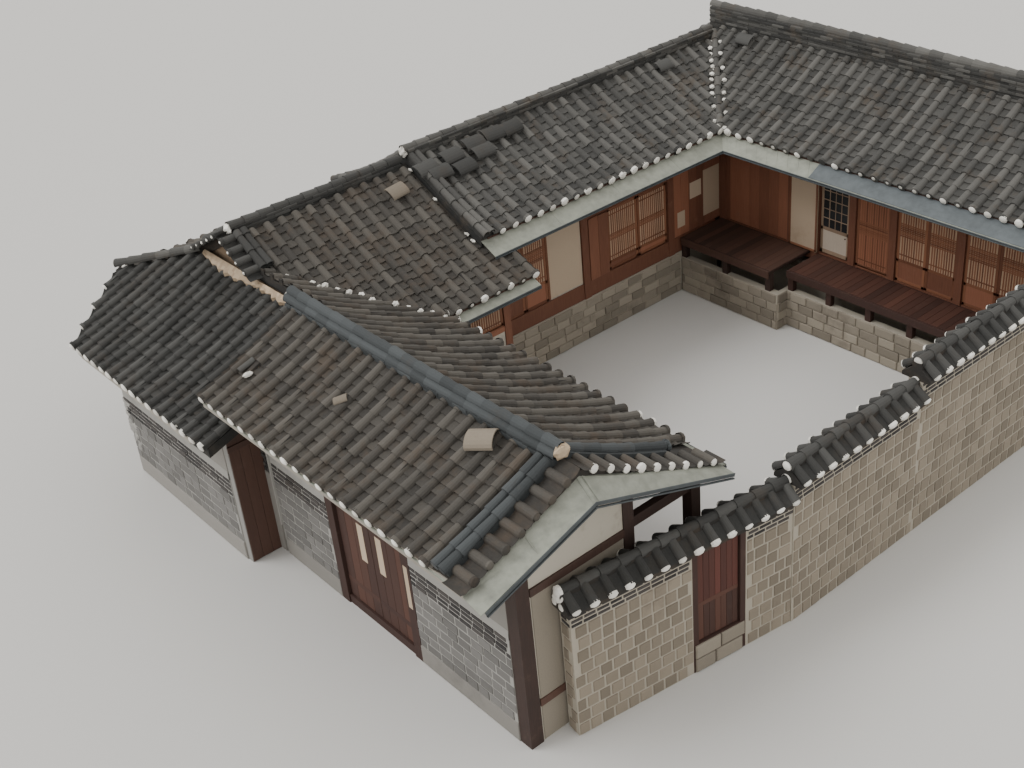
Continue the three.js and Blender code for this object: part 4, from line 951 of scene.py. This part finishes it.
capWall(gardenPoint(-0.06, 0.0), gardenPoint(3.60, 0.0), 1.40)
capWall((4.29, -1.33), (4.29, 1.42), 1.64)
capWall((4.29, 1.50), (4.29, 6.1), 1.94)
capWall((3.96, 5.98), (3.60, 5.98), 1.94)
endLine = Wall(gardenPoint(-0.03, -half), gardenPoint(-0.03, half))
for place in (0.045, 0.195):
    moundPlugs(capPlugs, endLine.at([place], 1.49, 0.06), endLine.out, endLine.along, zAxis, 0.055, 0.4)
lumps(capPlugs, endLine.at(0.12, 1.60, 0.045), (0.1, 0.045, 0.085))
capTiles.finish("gardenCapTiles", "roof_tile", "dark_tile")
capPlugs.finish("gardenCapPlugs", "mortar", "plug")
capRidges.finish("gardenCapRidges", "ridge_tile", "dark_tile")
print("stage: the garden wall is capped")

# Seams and edge strips of the sheet-metal aprons, and a sheet of painted shade on the main apron
seams, gutters, paintedShadeStretch = Sheet(), Sheet(), Sheet()


def apronSeams(inner, outer, count, width=0.014):
    # Low seams across a sheet between two edges, each given by its two ends
    share = np.linspace(0.01, 0.99, count)[:, None]
    top, foot = (start + share * (end - start) for start, end in np.array([inner, outer]))
    fall, along = unit(foot - top), unit(np.subtract(inner[1], inner[0]))
    square = unit(np.cross(fall, along))
    square = square * np.sign(square[:, 2:])
    sizes = stack(width, np.linalg.norm(foot - top, axis=1), 0.004)
    seams.blocks((top + foot) / 2, fall, square, sizes, 0.003, 0.5)


def edgeStrip(start, end, rise, depth, lower):
    # Double strip along an apron's lower edge
    start, end = np.array(start), np.array(end)
    along, centre, length = unit(end - start), (start + end) / 2, np.linalg.norm(end - start)
    out = unit(np.cross(along, zAxis))
    up = np.cross(out, along)
    gutters.blocks(centre - lower * up, up, out, [length, rise, depth], 0.004, 0.4)
    foot = centre - (lower + rise) * up - depth * 0.5 * out
    gutters.blocks(foot, up, out, [length, 0.02, depth * 2.2], 0.004, 0.2)


for seamSpan in (
    ([(-2.9, 0.9, 2.612), (-2.9, 3.9, 2.612)], [(-2.555, 0.9, 2.437), (-2.555, 3.9, 2.437)], 3),
    ([(-2.85, 5.33, 2.612), (3.74, 5.33, 2.612)], [(-2.52, 4.985, 2.437), (3.74, 4.985, 2.437)], 27, 0.03),
    ([(-2.08, -1.86, 2.072), (-2.08, -0.22, 2.072)], [(-1.885, -1.86, 1.982), (-1.885, -0.22, 1.982)], 2),
    ([(-1.88, -2.1, 2.072), (3.74, -2.1, 2.072)], [(-1.88, -1.945, 2.002), (3.74, -1.945, 2.002)], 5),
    ([(3.76, -6.3, 2.5), (3.76, -4.52, 3.2)], [(4.05, -6.3, 2.41), (4.05, -4.54, 2.99)], 3),
    ([(3.76, -4.48, 3.2), (3.76, -2.04, 2.05)], [(4.05, -4.5, 2.99), (3.985, -2.04, 2.03)], 4),
):
    apronSeams(*seamSpan)
for start, end, *sizes in (
    ((-2.55, -0.59, 2.433), (-2.55, 4.98, 2.433), 0.028, 0.014, 0.01),
    ((-2.55, 4.98, 2.433), (3.75, 4.98, 2.433), 0.028, 0.014, 0.01),
    ((-1.88, -1.88, 1.98), (-1.88, -0.21, 1.98), 0.035, 0.012, 0.012),
    ((3.75, -1.94, 2.0), (-1.9, -1.94, 2.0), 0.035, 0.012, 0.012),
    ((4.06, -6.3, 2.41), (4.06, -4.53, 2.99), 0.05, 0.014, 0.02),
    ((4.06, -4.53, 2.99), (3.99, -2.04, 2.03), 0.05, 0.014, 0.02),
):
    edgeStrip(start, end, *sizes)
# Painted shade: a thin blue-grey sheet darkens the main apron past its first stretch
fall = unit(np.array([0.0, -0.35, -0.175]))
paintedShadeStretch.blocks((1.59, 5.16, 2.5275), fall, np.cross(fall, xAxis), [4.28, 0.37, 0.006], 0.002, 0.5)
paintedShadeStretch.finish("paintedShadeApronSheet", "sheet_metal", "painted_shade_metal")
seams.finish("apronSeams", "sheet_metal")
gutters.finish("apronEdges", "sheet_metal", "dark_metal")
print("stage: the aprons are seamed")

# Woodwork: frames, bars, papers and boards, each on the body that carries it
leaves = ("house", "main_gate_leaf_left", "main_gate_leaf_right", "side_gate_leaf", "papered_door_leaf",
          "glazed_door_leaf", "back_door_leaf_near", "back_door_leaf_far")
woodLooks = ("painted_wood", "yard_wood", "red_wood", "lattice_wood", "dark_wood", "white_wood", "beige_wood",
             "paper", "tan_paper", "glass", "plaster")
wood = {body: {look: Sheet() for look in woodLooks} for body in leaves}
house = wood["house"]
lattice = {
    "stile": 0.055, "proud": 0.008,                # width and depth of stiles and rails
    "bar": 0.027, "pitch": 0.05, "bars": 0.005,    # width, spacing and depth of the upright bars
    "foot": 0.42,                                  # height of the board at the foot
}
yardHeights = (0.44, 2.19)  # of the boards and lattices between the floor and the eave beams


def latticeFace(parts, wall, span, low, high, out=0.0, foot=lattice["foot"], back="tan_paper", close=8):
    # Stiles and rails round upright bars with aged paper behind, by default a tan darkened as painted shade,
    # a close band of level bars across the middle and a board of one height at the foot
    size, bars, (left, right) = lattice, parts["lattice_wood"], span
    stile, base = size["stile"], low + foot
    wall.panel(bars, (left, left + stile), low, high, size["proud"], out)
    wall.panel(bars, (right - stile, right), low, high, size["proud"], out)
    for rail in (low, base - 0.03, high - stile):
        wall.panel(bars, span, rail, rail + stile, size["proud"], out)
    if foot:
        wall.panel(parts["yard_wood"], (left + 0.05, right - 0.05), low + 0.05, base - 0.03, 0.003, out)
    inner, bottom, top = (left + stile, right - stile), base + 0.02, high - stile
    wall.panel(parts[back], inner, bottom, top, 0.001, out)
    count = max(2, int(round((inner[1] - inner[0]) / size["pitch"])))
    uprights, tall = np.linspace(*inner, count + 1)[1:-1], top - base - 0.02
    wall.set(bars, uprights, (top + bottom) / 2, [size["bar"], tall, size["bars"]], out, 0.001)
    band = bottom + tall * 0.47 + 0.034 * (np.arange(close) - close / 2 + 0.5)
    rows = np.concatenate([band, bottom + tall * np.array([0.08, 0.92])])
    sizes = [inner[1] - inner[0], 0.024, size["bars"] + 0.001]
    wall.set(bars, np.full(len(rows), sum(inner) / 2), rows, sizes, out, 0.001)


# The back wing's yard side, with bare sheets of paper hung on the boards near the yard's corner
backFace = Wall((-3.525, 0.0), (-3.525, 5.79))
for span in ((0.165, 0.72), (0.73, 1.285)):
    latticeFace(house, backFace, span, *yardHeights)
backFace.panel(house["paper"], (1.30, 2.15), 0.46, 2.18, 0.006)
backFace.panel(house["lattice_wood"], (1.29, 1.34), *yardHeights, 0.012)
backFace.boards(house["yard_wood"], (2.33, 2.82), 0.45, 1.72, 0.245, 0.012, 0.044)
backFace.boards(house["yard_wood"], (4.61, 5.95), *yardHeights, 0.235, 0.012)
for place, low, high in (((5.46, 5.92), 0.62, 1.6), ((5.08, 5.4), 1.12, 1.46), ((4.72, 4.93), 0.62, 0.95)):
    backFace.panel(house["paper"], place, low, high, 0.003, 0.0125, 0.0005)
for body, span in (("back_door_leaf_near", (2.85, 3.627)), ("back_door_leaf_far", (3.643, 4.42))):
    latticeFace(wood[body], backFace, span, 0.452, 1.716, -0.0025, 0.16, close=4)

# The main wing's front, where x is counted from a point this far along the wall
mainFace, zero = Wall((-3.5, 5.98), (3.56, 5.98)), 3.5
mainFace.boards(house["yard_wood"], (zero - 3.5, zero - 1.77), *yardHeights, 0.26, 0.012)
mainFace.boards(house["yard_wood"], (zero - 1.60, zero - 1.18), *yardHeights, 0.21, 0.008)
latticeFace(house, mainFace, (zero - 0.175, zero + 0.555), *yardHeights, 0.0, 0.0, "yard_wood")
for x0, x1 in ((0.715, 1.333), (1.338, 1.955), (2.115, 2.758), (2.763, 3.405)):
    latticeFace(house, mainFace, (zero + x0, zero + x1), *yardHeights)


def leafEdge(wall, sheet, width, low, high, stile, *rails):
    # Stiles at both sides of a leaf, and level rails given by their low and high edge
    for span in ((0.0, stile), (width - stile, width)):
        wall.panel(sheet, span, low, high, 0.007)
    for rail in rails:
        wall.panel(sheet, (0.0, width), *rail, 0.007)


# The papered leaf: pale paper with a brown edge
paperedFace, papered = Wall((-1.677, 5.885), (-1.019, 5.885)), wood["papered_door_leaf"]
paperedFace.panel(papered["paper"], (0.035, 0.623), 0.49, 1.96, 0.003)
leafEdge(paperedFace, papered["lattice_wood"], 0.658, 0.452, 1.998, 0.04, (0.452, 0.5), (1.95, 1.998))

# The glazed leaf: dark panes, white bars four by five, a white foot panel with a knob
glazedFace, glazed = Wall((-1.003, 5.992), (-0.347, 5.992)), wood["glazed_door_leaf"]
glazedFace.panel(glazed["glass"], (0.05, 0.606), 1.0, 1.94, 0.002)
glazedFace.panel(glazed["white_wood"], (0.05, 0.606), 0.5, 0.95, 0.003)
glazedRails = (0.452, 0.53), (0.93, 1.0), (1.93, 1.988)
leafEdge(glazedFace, glazed["beige_wood"], 0.656, 0.452, 1.988, 0.055, *glazedRails)
uprights, levels = 0.055 + 0.1365 * np.arange(1, 4), 1.0 + 0.186 * np.arange(1, 5)
glazedFace.set(glazed["beige_wood"], uprights, 1.465, [0.018, 0.93, 0.006], 0.0, 0.002)
glazedFace.set(glazed["beige_wood"], np.full(4, 0.328), levels, [0.546, 0.018, 0.0065], 0.0, 0.002)
lumps(glazed["dark_wood"], glazedFace.at(0.57, 0.88, 0.012), 0.014)

# The main gate: boards on each leaf, blank paper strips on the leaves and the right post
for body, left, strip in (("main_gate_leaf_left", -0.524, 0.5), ("main_gate_leaf_right", 0.284, 0.14)):
    gateFace, leaf = Wall((left, -5.4625), (left + 0.8, -5.4625)), wood[body]
    gateFace.boards(leaf["painted_wood"], (0.0, 0.8), -0.588, 1.438, 0.2, 0.004)
    for height in (-0.3, 1.15):
        gateFace.panel(leaf["painted_wood"], (0.0, 0.8), height, height + 0.09, 0.007)
    gateFace.panel(leaf["paper"], (strip, strip + 0.14), 0.35, 1.02, 0.0062, 0.001, 0.0005)
postFace = Wall((1.10, -5.52), (1.28, -5.52))
postFace.panel(house["paper"], (0.04, 0.13), 0.2, 0.95, 0.003, 0.0, 0.0005)
postFace.panel(house["dark_wood"], (-1.9, 0.08), 1.47, 1.6, 0.03)

# The side gate: redder boards above a mid rail, browner below
sideHinge, side, width = 2.672, wood["side_gate_leaf"], (0.0, 0.688)
sideFace = Wall(gardenPoint(sideHinge - 0.666, 0.08), gardenPoint(sideHinge + 0.022, 0.08))
sideFace.boards(side["red_wood"], width, 0.42, 1.278, 0.098, 0.006)
sideFace.boards(side["painted_wood"], width, -0.238, 0.35, 0.098, 0.006)
sideFace.panel(side["painted_wood"], width, 0.35, 0.42, 0.008)

# Brown boards on the return wall and the yard sides of the street wing, with a lattice window in the low wing
returnFace = Wall((-2.45, -6.05), (-2.45, -5.5))
returnFace.boards(house["dark_wood"], (0.01, 0.54), -0.74, 1.35, 0.18, 0.014)
returnFace.panel(house["dark_wood"], (0.01, 0.54), 1.45, 2.0, 0.008)
returnFace.panel(house["dark_wood"], (0.0, 0.55), 1.35, 1.45, 0.03)
lowFace = Wall((-2.85, -2.9), (-2.85, -0.18))
for place in (0.01, 1.32, 2.57):
    lowFace.panel(house["yard_wood"], (place, place + 0.15), 0.02, 2.1, 0.03)
lowFace.panel(house["yard_wood"], (0.12, 2.57), 0.78, 0.88, 0.026)
lowFace.panel(house["plaster"], (1.47, 2.57), 0.03, 0.78, 0.01)
lowFace.boards(house["yard_wood"], (0.16, 1.32), 0.03, 2.1, 0.19, 0.014)
latticeFace(house, lowFace, (1.74, 2.56), 0.9, 1.95, 0.0, 0.0)
lowFace.panel(house["plaster"], (1.48, 1.73), 0.9, 1.95, 0.01)
for start, end, length in (((-0.92, -2.9), (-2.97, -2.9), 2.0), ((2.7, -2.9), (1.48, -2.9), 1.22)):
    Wall(start, end).boards(house["yard_wood"], (0.0, length), 0.03, 2.25, 0.2, 0.014)
for low, high in ((1.72, 1.84), (-0.12, 0.0)):
    gableFace.panel(house["dark_wood"], (0.0, 1.6), low, high, 0.03)

# Deck planks with a board along the front edge
for x0, x1, y0, y1, look in (
    (-1.0, 3.54, 5.03, 5.92, "painted_wood"), (-3.44, -1.21, 4.76, 5.92, "dark_wood"),
):
    count = int(round((x1 - x0) / 0.142))
    middles = x0 + (np.arange(count) + 0.5) * (x1 - x0) / count
    sizes = [(x1 - x0) / count - 0.004, y1 - y0 - 0.06, 0.010]
    house[look].blocks(stack(middles, (y0 + y1) / 2, 0.42), yAxis, zAxis, sizes, 0.002)
    Wall((x0, y0), (x1, y0)).panel(house[look], (0.0, x1 - x0), 0.28, 0.43, 0.03)

slotOf = {"yard_wood": "painted_wood", "red_wood": "painted_wood", "white_wood": "painted_wood",
          "beige_wood": "painted_wood", "tan_paper": "paper", "glass": "paper"}
for body, sheets in wood.items():
    for look, sheet in sheets.items():
        if sheet.count:
            sheet.finish(body + "_" + look, slotOf.get(look, look), look, body)
print("stage: the woodwork is in")

# Spare hollow tiles left lying face down on the roofs
spares, paleSpares = Sheet(), Sheet()


def spareTile(sheet, slope, along, up, turned, size=(0.42, 0.3, 0.07), over=0.12, shade=0.6):
    # Sizes are length, width and rise: point = middle + across * width / 2 * cos + square * rise * sin of an
    # arc, a thinner arc under it, and the length turned from the eave's direction by an angle
    middle, square = slope.at(along, up, over), slope.normal(up)
    ahead = math.cos(turned) * slope.side + math.sin(turned) * slope.uphill(up)
    across = np.cross(ahead, square)
    long, wide, high = size
    upper, lower = arc(0, 180, 8, wide / 2, high), arc(0, 180, 8, wide / 2 - 0.02, high - 0.018)
    profile = np.concatenate([upper, lower[::-1], upper[:1]])
    centres = middle + np.linspace(-0.5, 0.5, 3)[:, None] * long * ahead
    sheet.sweep(centres, across, square, profile, 1.0, shade)
    rims = np.stack([upper, lower])
    for end, way in ((centres[0], -1), (centres[-1], 1)):
        sheet.grid(end + rims[..., :1] * across + rims[..., 1:] * square, shade, None, way * ahead)


for along, up in ((-0.48, 1.55), (0.11, 1.59), (0.66, 1.65), (-0.31, 1.39), (0.17, 1.31), (0.70, 1.455),
                  (1.12, 1.68), (1.53, 1.66)):
    turned, shade = 0.06 * math.sin(9 * along), 0.3 + 0.5 * chance.random()
    spareTile(spares, slopes["upperIn"], along, up, turned, shade=shade)
# The last one is the lost tile, beside its place
for sheet, name, *values in (
    (spares, "upperIn", 5.45, 1.66, 0.0, (0.35, 0.26, 0.06), 0.12, 0.9),
    (spares, "mainFront", -3.9, 1.86, 0.0, (0.35, 0.26, 0.06), 0.12, 0.9),
    (paleSpares, "street", 2.38, 1.5, 0.5, (0.4, 0.32, 0.09)),
    (paleSpares, "street", -0.04, 1.0, 0.9, (0.2, 0.14, 0.04), 0.11, 0.2),
    (paleSpares, "lowerIn", -1.18, 2.3, 0.1, (0.36, 0.28, 0.06), 0.12, 0.3),
    (spares, "street", -2.05, 0.7, 1.45, (0.27, 0.11, 0.045), 0.07, 1.0),
):
    spareTile(sheet, slopes[name], *values)
spares.finish("spareTiles", "roof_tile", "dark_tile")
paleSpares.finish("paleSpareTiles", "roof_tile", "pale_tile")
tanBits.finish("tanMortar", "mortar")
print("stage: the spare tiles lie on the roofs")

bpy.ops.mesh.primitive_plane_add(size=300, location=(0, 0, 0))
floor = bpy.context.object
floor.name = "studioFloor"
floor.data.materials.append(Shader("paleFloor").done((0.55, 0.54, 0.52), 0.9))
floor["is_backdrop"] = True

world = bpy.data.worlds.new("softSky")
bpy.context.scene.world = world
world.use_nodes = True
world.node_tree.nodes["Background"].inputs["Color"].default_value = (1, 0.985, 0.955, 1)
world.node_tree.nodes["Background"].inputs["Strength"].default_value = 1.3

sun = bpy.data.lights.new("softSun", "SUN")
sun.energy, sun.angle = 1.6, math.radians(30)
sunPlace = bpy.data.objects.new("softSun", sun)
sunPlace.rotation_euler = (math.radians(38), math.radians(-8), math.radians(-30))
bpy.context.scene.collection.objects.link(sunPlace)
sunPlace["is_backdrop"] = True

# The camera stands where the photograph was taken from: high beyond the street corner
viewpoint = {
    "place": (13.76, -13.03, 12.85), "azimuth": 52.50, "elevation": 32.23, "roll": -5.81,  # house coordinates
    "lens": 48.5, "sensor": 36, "farthest": 200,
}
camera = bpy.data.cameras.new("viewpoint")
camera.lens, camera.sensor_width = viewpoint["lens"], viewpoint["sensor"]
camera.clip_end = viewpoint["farthest"]
azimuth, elevation, roll = (math.radians(viewpoint[k]) for k in ("azimuth", "elevation", "roll"))
level = Vector((math.cos(azimuth), math.sin(azimuth), 0))
beside = Vector((math.sin(azimuth), -math.cos(azimuth), 0))
back = math.cos(elevation) * beside + math.sin(elevation) * Vector(zAxis)
right = math.cos(roll) * level + math.sin(roll) * back.cross(level)
turned = Matrix((right, back.cross(right), back)).transposed().to_4x4()
cameraPlace = bpy.data.objects.new("viewpoint", camera)
cameraPlace.matrix_world = Matrix.Translation(Vector(viewpoint["place"]) + Vector(origin)) @ turned
bpy.context.scene.collection.objects.link(cameraPlace)
bpy.context.scene.camera = cameraPlace

low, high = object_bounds()
{"cad": [list(cadLow), list(cadHigh)], "visual": [list(low), list(high)]}
